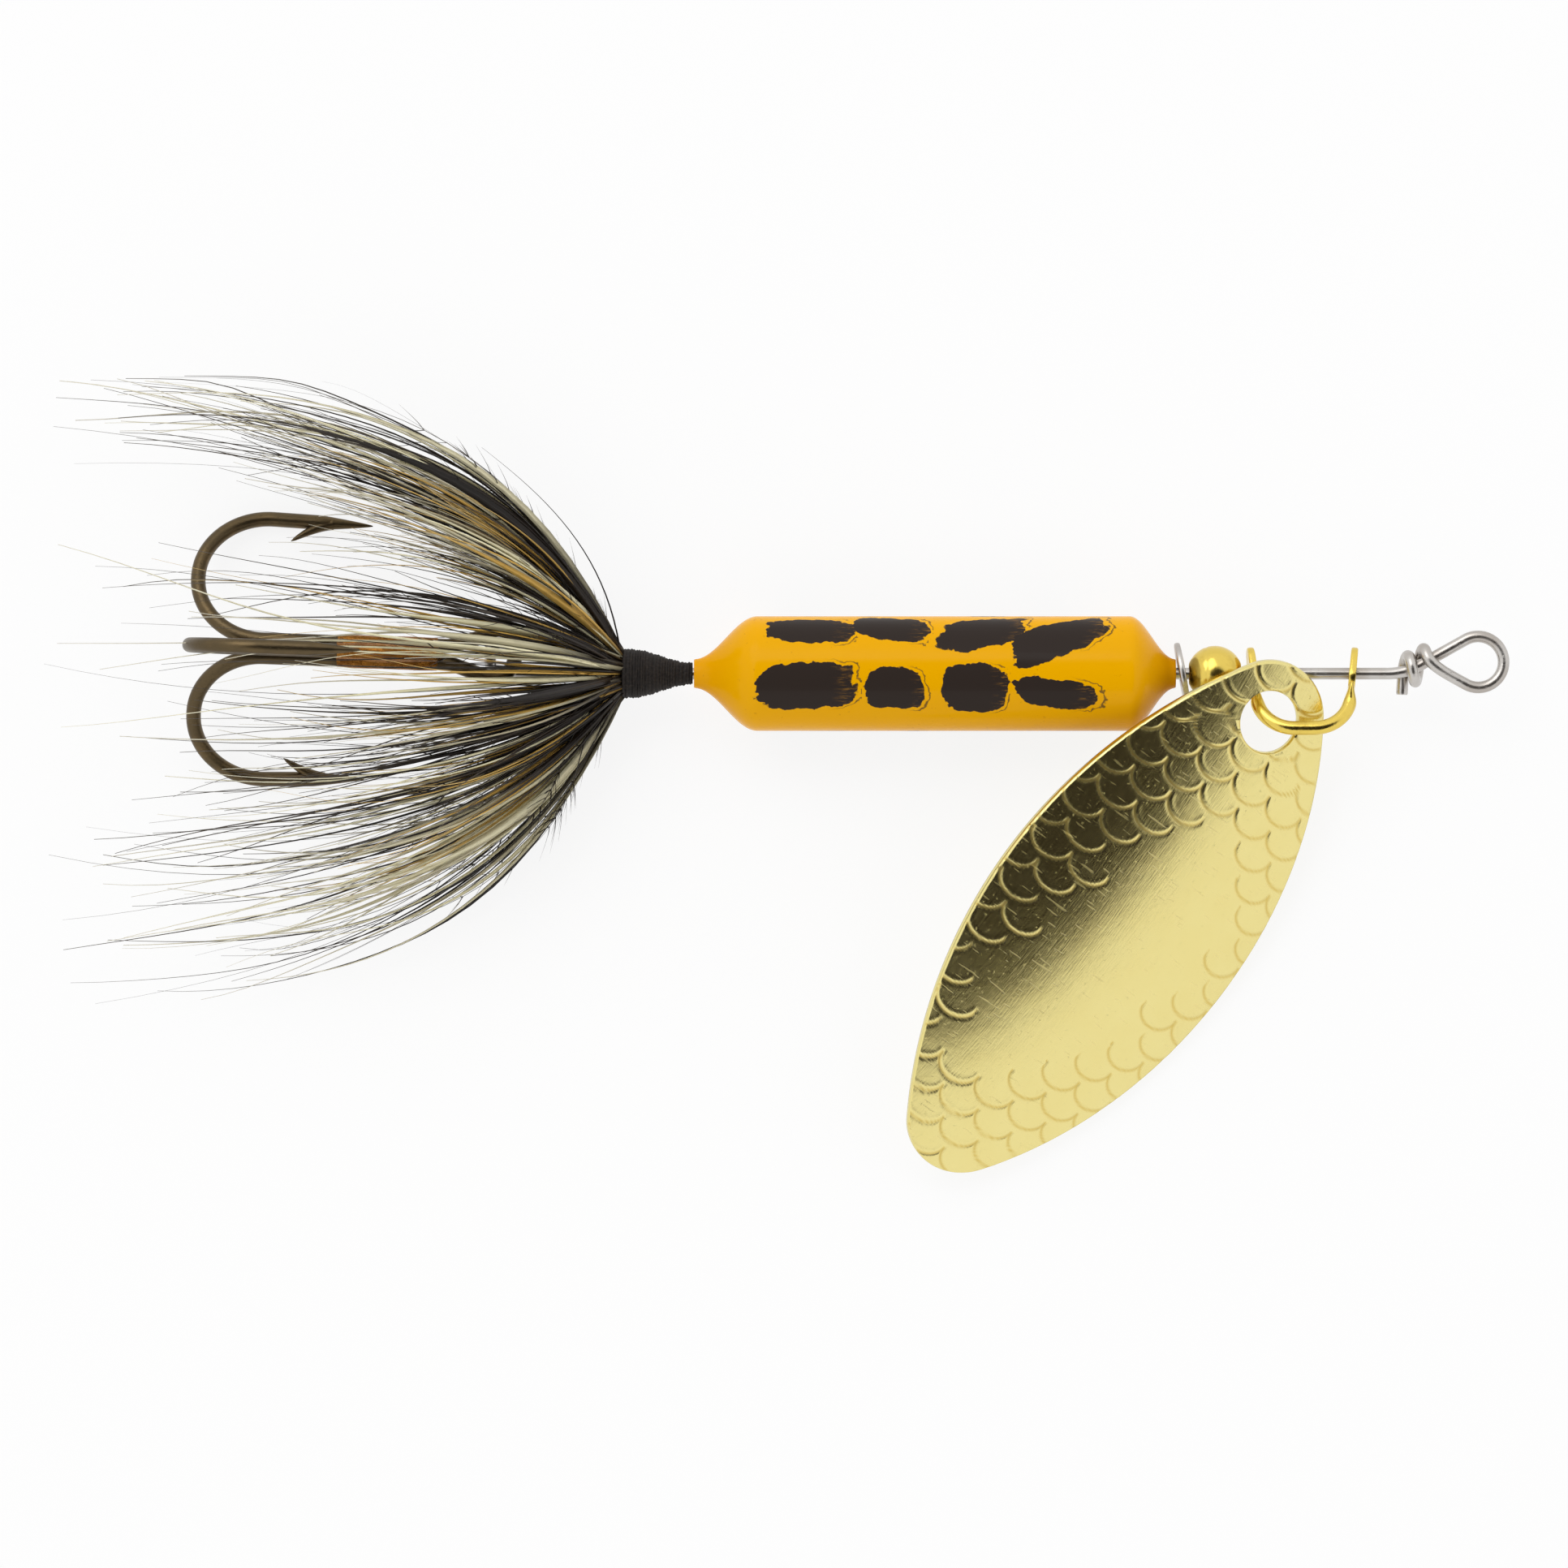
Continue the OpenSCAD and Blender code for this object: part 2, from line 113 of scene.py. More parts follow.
class SpinnerSizes(PropertyGroup):
    """Sizes of the metal pieces."""

    wire: length("Shaft wire", "Diameter of the shaft wire", 0.51)
    eye_radius: length("Eye radius", "Line-tie eye, to the middle of the wire", 1.1)
    eye_neck: length("Eye neck", "Straight run from the wraps to the eye", 2.13)
    wrap_radius: length("Wrap radius", "Closing wraps, to the middle of the wire", 0.62)
    wrap_pitch: length("Wrap pitch", "Step from one closing wrap to the next", 0.67)
    loop_tilt: angle("Loop tilt", "Turn of the rear loop about the shaft", 52)
    thread_turn: length("Thread", "Width of one turn of the binding thread", 0.13)
    clevis_wire: length("Clevis wire", "Diameter of the clevis wire", 0.6)
    clevis_span: length("Clevis span", "Distance between the ears", 4.3)
    clevis_depth: length("Clevis depth", "Bow below the shaft, to the middle of the wire", 2.73)
    clevis_turn: angle("Clevis turn", "Turn of the clevis about the shaft", 30.6)
    ear_width: length("Ear width", "Width of the flattened ears", 1.5)
    ear_thickness: length("Ear thickness", "Thickness of the flattened ears", 0.3)
    hook_wire: length("Hook wire", "Diameter of the hook wire", 0.64)
    hook_length: length("Hook length", "From the loop's bar to the bends", 12.75)
    hook_gap: length("Hook gap", "From shank to arm", 6.2)
    point_back: length("Point", "From the loop's bar back to the points", 5.35)


class BladeSizes(PropertyGroup):
    """Sizes of the blade and its stamping."""

    size: length("Length", "Length of the blade", 26.7)
    width: length("Width", "Width of the blade", 12.1)
    end_radius: length("End radius", "Radius of the round ends", 2.6)
    thickness: length("Thickness", "Thickness of the sheet", 0.4)
    cup_along: length("Cup along", "Radius of the cup along the blade", 60)
    cup_across: length("Cup across", "Radius of the cup across the blade", 17)
    hole: length("Hole", "Diameter of the hole", 2.66)
    scale_pitch: length("Scale pitch", "Width of one stamped scale", 1.96)
    scale_row: length("Scale row", "Step from one row of scales to the next", 1.14)
    scale_depth: length("Scale depth", "Depth of the stamped lines", 0.03)


class HackleSizes(PropertyGroup):
    """Make of the hackle."""

    reach: length("Reach", "Length of the hackle behind the thread", 25.4)
    flare: length("Flare", "Distance over which the hackle opens out", 7.3)
    fibre: length("Fibre", "Diameter of a fibre near its root", 0.19)
    fullness: FloatProperty(name="Fullness", description="Share of the full count of fibres",
                            default=1.0, min=0.1, max=2.0, subtype="FACTOR")
    seed: IntProperty(name="Seed", description="Start of the random numbers", default=7)


class SpinnerColours(PropertyGroup):
    """Colours of the finishes."""

    steel: colour("Steel", "Bright spring wire", 196, 192, 187)
    brass: colour("Brass", "Plated bead and clevis", 226, 198, 96)
    blade: colour("Blade", "Plated blade", 232, 219, 150)
    bronze: colour("Bronze", "Bronzed hooks", 92, 79, 58)
    braze: colour("Braze", "Braze between the shanks", 156, 102, 34)
    enamel: colour("Enamel", "Body enamel", 238, 174, 0)
    spots: colour("Spots", "Spots on the body", 50, 42, 38)
    thread: colour("Thread", "Binding thread", 30, 25, 23)
    black: colour("Dark fibres", "Dark hackle fibres", 34, 27, 22)
    cream: colour("Cream fibres", "Pale hackle fibres", 234, 221, 184)
    gold: colour("Golden fibres", "Golden hackle fibres", 206, 166, 82)
    grey: colour("Grey fibres", "Soft under-fibres", 136, 132, 128)
    floor: colour("Floor", "Plain pale floor", 254, 254, 254)


def sizes(group):
    """The group's lengths in millimetres, and its angles in radians."""
    return {key: getattr(group, key) / (1 if key in ("loop_tilt", "clevis_turn") else MM)
            for key in group.__annotations__}


# ---- Shader expressions ----


class Value:
    """A shader socket that stands in an expression; each operator adds one Math node."""

    def __init__(self, finish, socket):
        self.finish = finish
        self.socket = socket

    def math(self, operation, *values):
        return self.finish.add("ShaderNodeMath", {"operation": operation},
                               dict(enumerate(values)))

    def __add__(self, other):
        return self.math("ADD", self, other)

    def __radd__(self, other):
        return self.math("ADD", other, self)

    def __sub__(self, other):
        return self.math("SUBTRACT", self, other)

    def __rsub__(self, other):
        return self.math("SUBTRACT", other, self)

    def __mul__(self, other):
        return self.math("MULTIPLY", self, other)

    def __rmul__(self, other):
        return self.math("MULTIPLY", other, self)

    def __truediv__(self, other):
        return self.math("DIVIDE", self, other)

    def __abs__(self):
        return self.math("ABSOLUTE", self)

    def power(self, exponent):
        return self.math("POWER", self, exponent)

    def step(self, low, high):
        """0 below low and 1 above high, with a smooth rise between them."""
        return self.finish.add("ShaderNodeMapRange", {"interpolation_type": "SMOOTHSTEP"},
                               {0: self, 1: low, 2: high})


class Finish:
    """A material on one Principled shader, written as expressions."""

    def __init__(self, name, **uniform):
        self.material = bpy.data.materials.new(name)
        self.material.use_nodes = True
        self.tree = self.material.node_tree
        self.shader = self.tree.nodes["Principled BSDF"]
        for socket, value in uniform.items():
            self.set(socket.replace("_", " "), value)

    def set(self, socket, value):
        if isinstance(value, Value):
            self.tree.links.new(value.socket, self.shader.inputs[socket])
        else:
            self.shader.inputs[socket].default_value = value

    def add(self, kind, settings=None, sockets=None, out=0):
        """A new node: its settings first, then the values or links of its sockets."""
        node = self.tree.nodes.new(kind)
        for key, value in (settings or {}).items():
            setattr(node, key, value)
        for key, value in (sockets or {}).items():
            if isinstance(value, Value):
                self.tree.links.new(value.socket, node.inputs[key])
            else:
                node.inputs[key].default_value = value
        return Value(self, node.outputs[out])

    def place(self, x=1.0, y=1.0, z=1.0):
        """Object coordinates in millimetres, each axis times its factor."""
        at = self.add("ShaderNodeTexCoord", out="Object")
        return self.add("ShaderNodeVectorMath", {"operation": "MULTIPLY"},
                        {0: at, 1: (x / MM, y / MM, z / MM)})

    def attribute(self, name, out="Fac"):
        return self.add("ShaderNodeAttribute", {"attribute_name": name}, out=out)

    def axis(self, vector, index):
        return self.add("ShaderNodeSeparateXYZ", None, {0: vector}, index)

    def noise(self, at, scale, detail=3.0, rough=0.5):
        return self.add("ShaderNodeTexNoise", None,
                        {"Vector": at, "Scale": scale, "Detail": detail, "Roughness": rough})

    def mix(self, factor, a, b):
        """Colour a where the factor is 0 and b where it is 1."""
        a, b = (v if isinstance(v, Value) else (*v, 1) for v in (a, b))
        return self.add("ShaderNodeMix", {"data_type": "RGBA"}, {0: factor, 6: a, 7: b}, 2)

    def bump(self, height, depth, strength=1.0):
        """Surface raised by height times depth millimetres."""
        self.set("Normal", self.add("ShaderNodeBump", None,
                                    {"Strength": strength, "Distance": depth * MM,
                                     "Height": height}))


def darker(base, share):
    return tuple(share * v for v in base)


def steel_finish(base):
    """Drawn spring wire: fine lines along the shaft, faint warm bands and small nicks."""
    f = Finish("drawn_steel", Metallic=1.0)
    lines = f.noise(f.place(0.35, 9, 9), 1.0, 4)
    bands = f.noise(f.place(0.5, 0.5, 0.5), 1.0, 2).step(0.42, 0.62)
    nicks = f.noise(f.place(3, 3, 3), 1.6, 5, 0.7).step(0.62, 0.74)
    warm = f.mix(bands * 0.55, base, (base[0] * 0.66, base[1] * 0.6, base[2] * 0.55))
    f.set("Base Color", f.mix(nicks * 0.5, warm, darker(base, 0.4)))
    f.set("Roughness", 0.2 + lines * 0.2 + nicks * 0.15)
    f.bump(lines - nicks, 0.006)
    return f.material


def brass_finish(base, name="bright_brass"):
    """Plated brass wire: a warm gloss with drawing lines and darker tarnish in patches."""
    f = Finish(name, Metallic=1.0)
    patches = f.noise(f.place(1, 1, 1), 0.9, 4, 0.6).step(0.5, 0.78)
    grain = f.noise(f.place(5, 5, 5), 1.4, 4, 0.6)
    f.set("Base Color", f.mix(patches * 0.6, base, (base[0] * 0.6, base[1] * 0.48, base[2] * 0.3)))
    f.set("Roughness", 0.13 + grain * 0.14 + patches * 0.08)
    f.bump(grain, 0.006)
    return f.material


def blade_finish(base):
    """Stamped, plated sheet: brushed across the blade, with scratches, and with painted shade in
    the stamped lines, which are darkened towards amber.
    """
    f = Finish("stamped_plate", Metallic=1.0)
    at = f.attribute("sheet_place", "Vector")
    brushed = f.noise(f.add("ShaderNodeVectorMath", {"operation": "MULTIPLY"},
                            {0: at, 1: (1.1, 14.0, 1.0)}), 1.0, 4, 0.6)
    cloud = f.noise(at, 0.55, 4, 0.6)
    pits = f.noise(at, 4.5, 5, 0.75).step(0.6, 0.74)
    scratches = f.noise(f.add("ShaderNodeVectorMath", {"operation": "MULTIPLY"},
                              {0: at, 1: (7.0, 0.8, 1.0)}), 1.0, 2, 0.4).step(0.66, 0.7)
    line = f.attribute("line")
    tone = f.mix(cloud * 0.35, base, (base[0] * 0.9, base[1] * 0.8, base[2] * 0.55))
    # painted shade: the stamped lines are darkened towards amber, standing in for the shade in
    # their grooves
    tone = f.mix(line * 0.6, tone, (base[0] * 0.74, base[1] * 0.56, base[2] * 0.18))
    f.set("Base Color", f.mix(pits * 0.3, tone, darker(base, 0.5)))
    f.set("Roughness", 0.14 + brushed * 0.16 + line * 0.15 + scratches * 0.12)
    f.bump(brushed * 0.5 + cloud * 1.5 - pits * 0.4 - scratches * 0.2, 0.01)
    return f.material


def bronze_finish(base):
    """Bronzed hook wire: brown with paler rubbed patches and a satin gloss."""
    f = Finish("hook_bronze", Metallic=1.0)
    rubbed = f.noise(f.place(0.7, 1.2, 1.2), 0.9, 4, 0.6).step(0.45, 0.7)
    grain = f.noise(f.place(2, 8, 8), 1.2, 4, 0.6)
    specks = f.noise(f.place(4, 4, 4), 1.5, 4, 0.7).step(0.6, 0.72)
    tone = f.mix(rubbed * 0.5, base, (base[0] * 1.6, base[1] * 1.5, base[2] * 1.3))
    f.set("Base Color", f.mix(specks * 0.6, tone, darker(base, 0.35)))
    f.set("Roughness", 0.26 + grain * 0.2)
    f.bump(grain - specks * 0.5, 0.01)
    return f.material


def braze_finish(base):
    """Run braze: amber, glossy where it flowed and dull where flux burnt."""
    f = Finish("run_braze", Metallic=0.8)
    flux = f.noise(f.place(1.2, 2, 2), 1.0, 5, 0.65).step(0.45, 0.7)
    grain = f.noise(f.place(4, 6, 6), 1.0, 4)
    f.set("Base Color", f.mix(flux * 0.65, base, (base[0] * 0.45, base[1] * 0.36, base[2] * 0.3)))
    f.set("Roughness", 0.25 + flux * 0.3)
    f.bump(grain + flux, 0.03)
    return f.material


def enamel_finish(base, spots):
    """Dipped enamel with brushed-on spots: dark patches with a ragged edge, each with a thin
    broken outline and golden streaks at its front end, which are a painted rim highlight."""
    f = Finish("spotted_enamel", Specular_IOR_Level=0.05, Coat_Weight=0.06, Coat_Roughness=0.05)
    rag = f.noise(f.place(1, 1, 1), 1.5, 2, 0.5) - 0.5
    teeth = f.noise(f.place(1, 1, 1), 4.2, 3, 0.6) - 0.5
    front = f.attribute("spot_front").step(0.35, 0.95)
    edge = f.attribute("spot") + rag * 0.45 + teeth * 0.2
    paint = 1 - edge.step(-0.012, 0.018)
    outline = edge.step(0.1, 0.125) * (1 - edge.step(0.145, 0.17)) * front
    # painted highlight: golden streaks inside the front rim of each spot
    rim_highlight = f.noise(f.place(1.6, 9, 9), 1.0, 4, 0.7).step(0.5, 0.66) * front
    rim_highlight = rim_highlight * edge.step(-0.5, -0.08)
    cloud = f.noise(f.place(1, 1, 1), 0.35, 2)
    dust = f.noise(f.place(1, 1, 1), 5.0, 2, 0.5).step(0.7, 0.74)
    pool = f.attribute("pooled")
    tone = f.mix(cloud * 0.3, base, (base[0] * 0.97, base[1] * 0.82, base[2]))
    tone = f.mix(pool * 0.3, tone, (base[0] * 0.88, base[1] * 0.62, base[2]))
    tone = f.mix(dust * 0.35, tone, (base[0] * 0.6, base[1] * 0.45, base[2]))
    # spot colour with the painted rim highlight mixed in
    highlit_spots = f.mix(rim_highlight * 0.6, spots, (base[0] * 0.4, base[1] * 0.38, 0.02))
    mark = f.add("ShaderNodeMath", {"operation": "MAXIMUM"}, {0: paint, 1: outline * 0.8})
    f.set("Base Color", f.mix(mark, tone, highlit_spots))
    f.set("Roughness", 0.2 + paint * 0.12 + rim_highlight * 0.1)
    f.bump(cloud + paint * 0.3, 0.03)
    return f.material


def thread_finish(base):
    """Waxed black thread: matte, with fluff that has a brown cast."""
    f = Finish("waxed_thread", Specular_IOR_Level=0.25)
    fluff = f.noise(f.place(5, 9, 9), 1.2, 5, 0.7)
    f.set("Base Color", f.mix(fluff.step(0.4, 0.75), darker(base, 0.7), (0.035, 0.026, 0.02)))
    f.set("Roughness", 0.55 + fluff * 0.25)
    f.bump(fluff, 0.03)
    return f.material


def fibre_finish(name, base, tip, gloss):
    """Hackle fibres: dark at the root, each with its own tone, its own tip and a soft gloss."""
    f = Finish(name, Specular_IOR_Level=0.35)
    tone = f.attribute("tone")
    along = f.attribute("along")
    streak = f.noise(f.place(0.6, 3, 3), 1.0, 3)
    mixed = f.mix(tone, darker(base, 0.5), tuple(min(1.0, 1.3 * v) for v in base))
    mixed = f.mix(streak.step(0.5, 0.75) * 0.4, mixed, darker(base, 0.5))
    mixed = f.mix(along.step(0.45, 1.0) * 0.6, mixed, tip)
    root = (1 - (along + tone * 0.24).step(0.12, 0.4)) * 0.92
    f.set("Base Color", f.mix(root, mixed, (0.016, 0.010, 0.006)))
    f.set("Roughness", gloss + streak * 0.2)
    return f.material


# ---- Surfaces ----


def unit(v):
    return v / np.linalg.norm(v, axis=-1, keepdims=True)


def dot(a, b):
    return np.sum(a * b, axis=-1, keepdims=True)


def swell(f):
    """Rise from 0 to 1 as a half wave."""
    return (1 - np.cos(np.pi * np.clip(f, 0, 1))) / 2


def turn_x(points, turn):
    """The points turned about the shaft."""
    c, s = math.cos(turn), math.sin(turn)
    return points @ np.array(((1, 0, 0), (0, c, s), (0, -s, c)))


def turn_z(points, turn):
    """The points turned about the upright axis."""
    c, s = math.cos(turn), math.sin(turn)
    return points @ np.array(((c, s, 0), (-s, c, 0), (0, 0, 1)))


def corner(a, b, c, radius, steps):
    """Arc that rounds corner b: it starts and ends where a circle of that radius, set in the
    corner's angle, touches the two runs; the points swing evenly round its centre."""
    u, v = unit(a - b), unit(c - b)
    half = math.acos(max(-1.0, min(1.0, float(u @ v)))) / 2
    turn = math.pi - 2 * half
    if turn < 0.01:
        return b[None]
    centre = b + unit(u + v) * radius / math.sin(half)
    first = b + u * radius / math.tan(half) - centre
    last = b + v * radius / math.tan(half) - centre
    f = np.linspace(0, turn, steps + 1)[:, None]
    return centre + (first * np.sin(turn - f) + last * np.sin(f)) / math.sin(turn)


def rounded(points, radii, steps=24):
    """Straight runs through the points, with each inner corner rounded."""
    points = np.array(points, float)
    arcs = [corner(a, b, c, r, steps)
            for a, b, c, r in zip(points, points[1:], points[2:], radii)]
    return np.concatenate([points[:1], *arcs, points[-1:]])


def even(path, step):
    """The path in equal steps of arc length."""
    far = np.concatenate([[0], np.cumsum(np.linalg.norm(np.diff(path, axis=0), axis=1))])
    at = np.linspace(0, far[-1], max(4, int(far[-1] / step)))
    return np.stack([np.interp(at, far, path[:, i]) for i in range(3)], axis=1)


def frames(path):
    """Tangents and two normals along a path. A first guess crosses each tangent with a fixed
    direction; the twist between neighbours, summed along the path, is then turned out."""
    t = unit(np.gradient(path, axis=0))
    guess = unit(np.cross(t, (0.36, 0.48, 0.8)))
    side = np.cross(t, guess)
    carried = guess[:-1] - t[1:] * dot(guess[:-1], t[1:])
    step = np.arctan2(dot(carried, side[1:]), dot(carried, guess[1:]))
    turn = np.concatenate([[[0.0]], np.cumsum(step, axis=0)])
    n = guess * np.cos(turn) + side * np.sin(turn)
    return t, n, np.cross(t, n)


def tube(path, radii, sides=20):
    """A circle of the given radii carried along the path, with both ends closed to a point."""
    t, n, b = frames(path)
    a = np.linspace(0, 2 * np.pi, sides, endpoint=False)[None, :, None]
    radii = np.broadcast_to(radii, len(path))[:, None, None]
    rings = path[:, None] + radii * (n[:, None] * np.cos(a) + b[:, None] * np.sin(a))
    ends = [np.repeat(path[i][None, None], sides, axis=1) for i in (0, -1)]
    return np.concatenate([ends[0], rings, ends[1]])


def lathe(x, r, sides=96):
    """A profile of radius r at each x turned about the shaft; the profile is closed."""
    a = np.linspace(0, 2 * np.pi, sides, endpoint=False)
    x, r = np.append(x, x[0])[:, None], np.append(r, r[0])[:, None]
    return np.stack([x + 0 * a, r * np.cos(a), r * np.sin(a)], axis=-1)


def quads(rows, columns, around):
    """Corner numbers of the faces of a grid, which closes across its columns when around."""
    i, j = np.meshgrid(np.arange(rows - 1), np.arange(columns if around else columns - 1),
                       indexing="ij")
    k = (j + 1) % columns
    return np.stack([i * columns + j, i * columns + k, (i + 1) * columns + k,
                     (i + 1) * columns + j], axis=-1).reshape(-1, 4)


def build(name, grids, material, around=True, attributes=None, mend=True, sharp=40):
    """One object from point grids in millimetres. Doubled points are merged, which closes
    seams and poles, and the faces are then turned outwards."""
    points, faces, start = [], [], 0
    for grid in grids:
        rows, columns = grid.shape[:2]
        points.append(grid.reshape(-1, 3))
        faces.append(quads(rows, columns, around) + start)
        start += rows * columns
    mesh = bpy.data.meshes.new(name)
    mesh.from_pydata((np.concatenate(points) * MM).tolist(), [], np.concatenate(faces).tolist())
    for key, values in (attributes or {}).items():
        kind = "FLOAT_VECTOR" if values.ndim > 1 else "FLOAT"
        layer = mesh.attributes.new(key, kind, "POINT")
        layer.data.foreach_set("vector" if values.ndim > 1 else "value", values.ravel())
    if mend:
        shell = bmesh.new()
        shell.from_mesh(mesh)
        bmesh.ops.remove_doubles(shell, verts=shell.verts, dist=2e-7)
        bmesh.ops.recalc_face_normals(shell, faces=shell.faces)
        shell.to_mesh(mesh)
        shell.free()
    mesh.polygons.foreach_set("use_smooth", np.ones(len(mesh.polygons), bool))
    mesh.set_sharp_from_angle(angle=math.radians(sharp))
    mesh.materials.append(material)
    piece = bpy.data.objects.new(name, mesh)
    bpy.context.scene.collection.objects.link(piece)
    return piece


def span(node):
    """Lowest and highest corner of a CAD node, in millimetres."""
    low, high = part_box(node)
    return np.array(low) / MM, np.array(high) / MM


def stations():
    """Places along the shaft that several pieces share, in millimetres."""
    body, thread = span("lead_body"), span("thread_wrap")
    return {"body_rear": body[0][0], "body_front": body[1][0], "body_r": body[1][2],
            "thread_rear": thread[0][0], "thread_front": thread[1][0],
            "bar": np.array(JOINTS["hook_swing"]["pos_m"]) / MM}


# ---- Shaft wire ----


def shaft_path(s):
    """One wire: the free leg of the rear loop, round the loop's bar, forwards along the shaft,
    up a parabola, round the eye and back in a helix of closing wraps to the cut tag."""
    at = stations()
    wire_r, eye_r = s["wire"] / 2, s["eye_radius"]
    wrap_r, pitch = s["wrap_radius"], s["wrap_pitch"]
    wrap_x, lift_len, rise = -1.8, 1.5, 0.42
    lift_x = wrap_x - 0.15 - lift_len
    slope = math.atan(2 * rise / lift_len)
    rear, (bar, *bar_yz) = at["thread_rear"], at["bar"]
    bar_w = math.hypot(*bar_yz)
    half_w, leg_gap = wire_r + s["hook_wire"] / 2 + 0.395, s["wire"] + 0.05
    loop = rounded([(rear + 0.3, 0, 0), (rear - 0.15, 0, 0), (bar, bar_w - half_w, 0),
                    (bar, bar_w + half_w, 0), (bar + (rear - bar) / 3, bar_w + half_w * 0.95, 0),
                    (rear - 0.1, leg_gap, 0), (rear + 1.2, leg_gap, 0)], [1.2, 0.5, 0.5, 1.5, 0.7])
    loop = turn_x(loop, s["loop_tilt"])

    def lift(x):
        return rise * (np.maximum(0, x - lift_x) / lift_len) ** 2

    def wrap(a):
        x = wrap_x - pitch * (60 - a) / 360
        r = np.radians(a)
        return np.stack([x, lift(x) + wrap_r * np.cos(r), wrap_r * np.sin(r)], axis=-1)

    x = np.linspace(lift_x - 0.3, lift_x + lift_len, 24)
    climb = np.stack([x, lift(x), 0 * x], axis=1)
    run = np.array((math.cos(slope), math.sin(slope), 0))
    centre = climb[-1] + s["eye_neck"] * run + eye_r * np.array((run[1], -run[0], 0))
    first = math.pi / 2 + slope
    f = np.linspace(0, 1, 60)
    a = first - 2 * first * f
    top = wrap_r * 0.4
    eye = centre + np.stack([eye_r * np.cos(a), eye_r * np.sin(a), top * swell(f)], axis=1)
    turns = wrap(np.linspace(60, -450, 160))
    p, q = eye[-1], turns[0]
    leave = p + 0.8 * np.array((-run[0], run[1], 0.1))
    enter = q - 0.6 * unit(turns[1] - turns[0])
    g = np.linspace(0, 1, 26)[1:-1, None]
    join = ((1 - g) ** 3 * p + 3 * (1 - g) ** 2 * g * leave
            + 3 * (1 - g) * g ** 2 * enter + g ** 3 * q)
    tag = turns[-1] + unit(np.array((-0.05, -1, 0)))
    return even(np.concatenate([loop[::-1], climb, eye, join, turns, tag[None]]), 0.07)


class SPINNER_OT_shaft(Operator):
    """Make the shaft wire with its line-tie eye, closing wraps and rear loop"""

    bl_idname = "spinner.shaft"
    bl_label = "Shaft Wire"

    def execute(self, context):
        s = sizes(context.scene.spinner_sizes)
        path = shaft_path(s)
        radii = np.full(len(path), s["wire"] / 2 * 0.995)
        radii[[0, -1]] *= 0.9
        piece = build("shaft_wire_bent", [tube(path, radii, 24)],
                      steel_finish(context.scene.spinner_colours.steel))
        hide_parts("shaft_wire")
        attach(piece, "shaft")
        return {"FINISHED"}


# ---- Thread ----


class SPINNER_OT_thread(Operator):
    """Make the thread bound over the doubled wire"""

    bl_idname = "spinner.thread"
    bl_label = "Thread Wrap"

    def execute(self, context):
        s = sizes(context.scene.spinner_sizes)
        piece = build("thread_binding", [self.surface(s["thread_turn"])],
                      thread_finish(context.scene.spinner_colours.thread), sharp=70)
        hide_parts("thread_wrap")
        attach(piece, "shaft")
        return {"FINISHED"}

    @staticmethod
    def surface(turn):
        """A cone of thread: the radius swells towards the rear, and a helix of round turns,
        each a little wider or higher than the last, ripples it."""
        at = stations()
        low, high = span("thread_wrap")
        x = np.linspace(at["thread_front"] - 0.02, at["thread_rear"] + 0.02, 260)[:, None]
        a = np.linspace(0, 2 * np.pi, 72, endpoint=False)[None, :]
        share = (at["thread_front"] - x) / (at["thread_front"] - at["thread_rear"])
        r = 0.46 + (high[2] - 0.03 - 0.46) * swell(share / 0.9)
        turns = x / turn + a / (2 * np.pi) + 0.35 * np.sin(x * 5.1)
        ridge = np.abs(np.sin(np.pi * turns)) ** 0.6
        uneven = np.sin(x * 9.7 + a) + np.sin(x * 23 + 2 * a)
        r = np.minimum(r + 0.045 * (ridge - 0.6) + 0.012 * uneven, high[2] - 0.002)
        bound = np.stack([x + 0 * a, r * np.cos(a), r * np.sin(a)], axis=-1)
        core = np.stack([x[[0, -1]] + 0 * a, 0.2 * np.cos(a) + 0 * x[[0, -1]],
                         0.2 * np.sin(a) + 0 * x[[0, -1]]], axis=-1)
        return np.concatenate([core[:1], bound, core[1:], core[:1]])


# ---- Body ----


SPOT_ROWS = (
    # place along the body, angle in degrees, half length, half height and slant of each spot
    (0.243, 50, 1.85, 0.80, 0.00), (0.408, 54, 1.60, 0.84, -0.12), (0.597, 47, 1.90, 0.95, 0.22),
    (0.757, 40, 2.05, 1.00, 0.40),
    (0.233, -14, 2.10, 1.02, 0.04), (0.417, -16, 1.26, 0.96, -0.06), (0.581, -16, 1.40, 1.10, 0.0),
    (0.748, -21, 1.68, 0.66, -0.12),
    (0.25, -109, 1.9, 0.85, 0.1), (0.42, -106, 1.6, 0.75, 0.2), (0.58, -110, 1.7, 0.8, -0.1),
    (0.76, -107, 1.9, 0.8, 0.0),
    (0.22, -158, 2.0, 0.9, -0.2), (0.40, -154, 1.5, 1.0, 0.1), (0.57, -161, 1.6, 0.9, 0.2),
    (0.74, -157, 1.6, 0.8, 0.0),
    (0.26, 153, 1.8, 0.9, 0.2), (0.43, 157, 1.4, 0.8, -0.1), (0.60, 151, 1.6, 1.0, 0.0),
    (0.77, 155, 1.7, 0.8, 0.2),
    (0.22, 106, 1.8, 0.8, 0.0), (0.39, 109, 1.5, 0.9, 0.2), (0.56, 105, 1.7, 0.8, -0.2),
    (0.73, 108, 1.7, 0.9, 0.1),
)


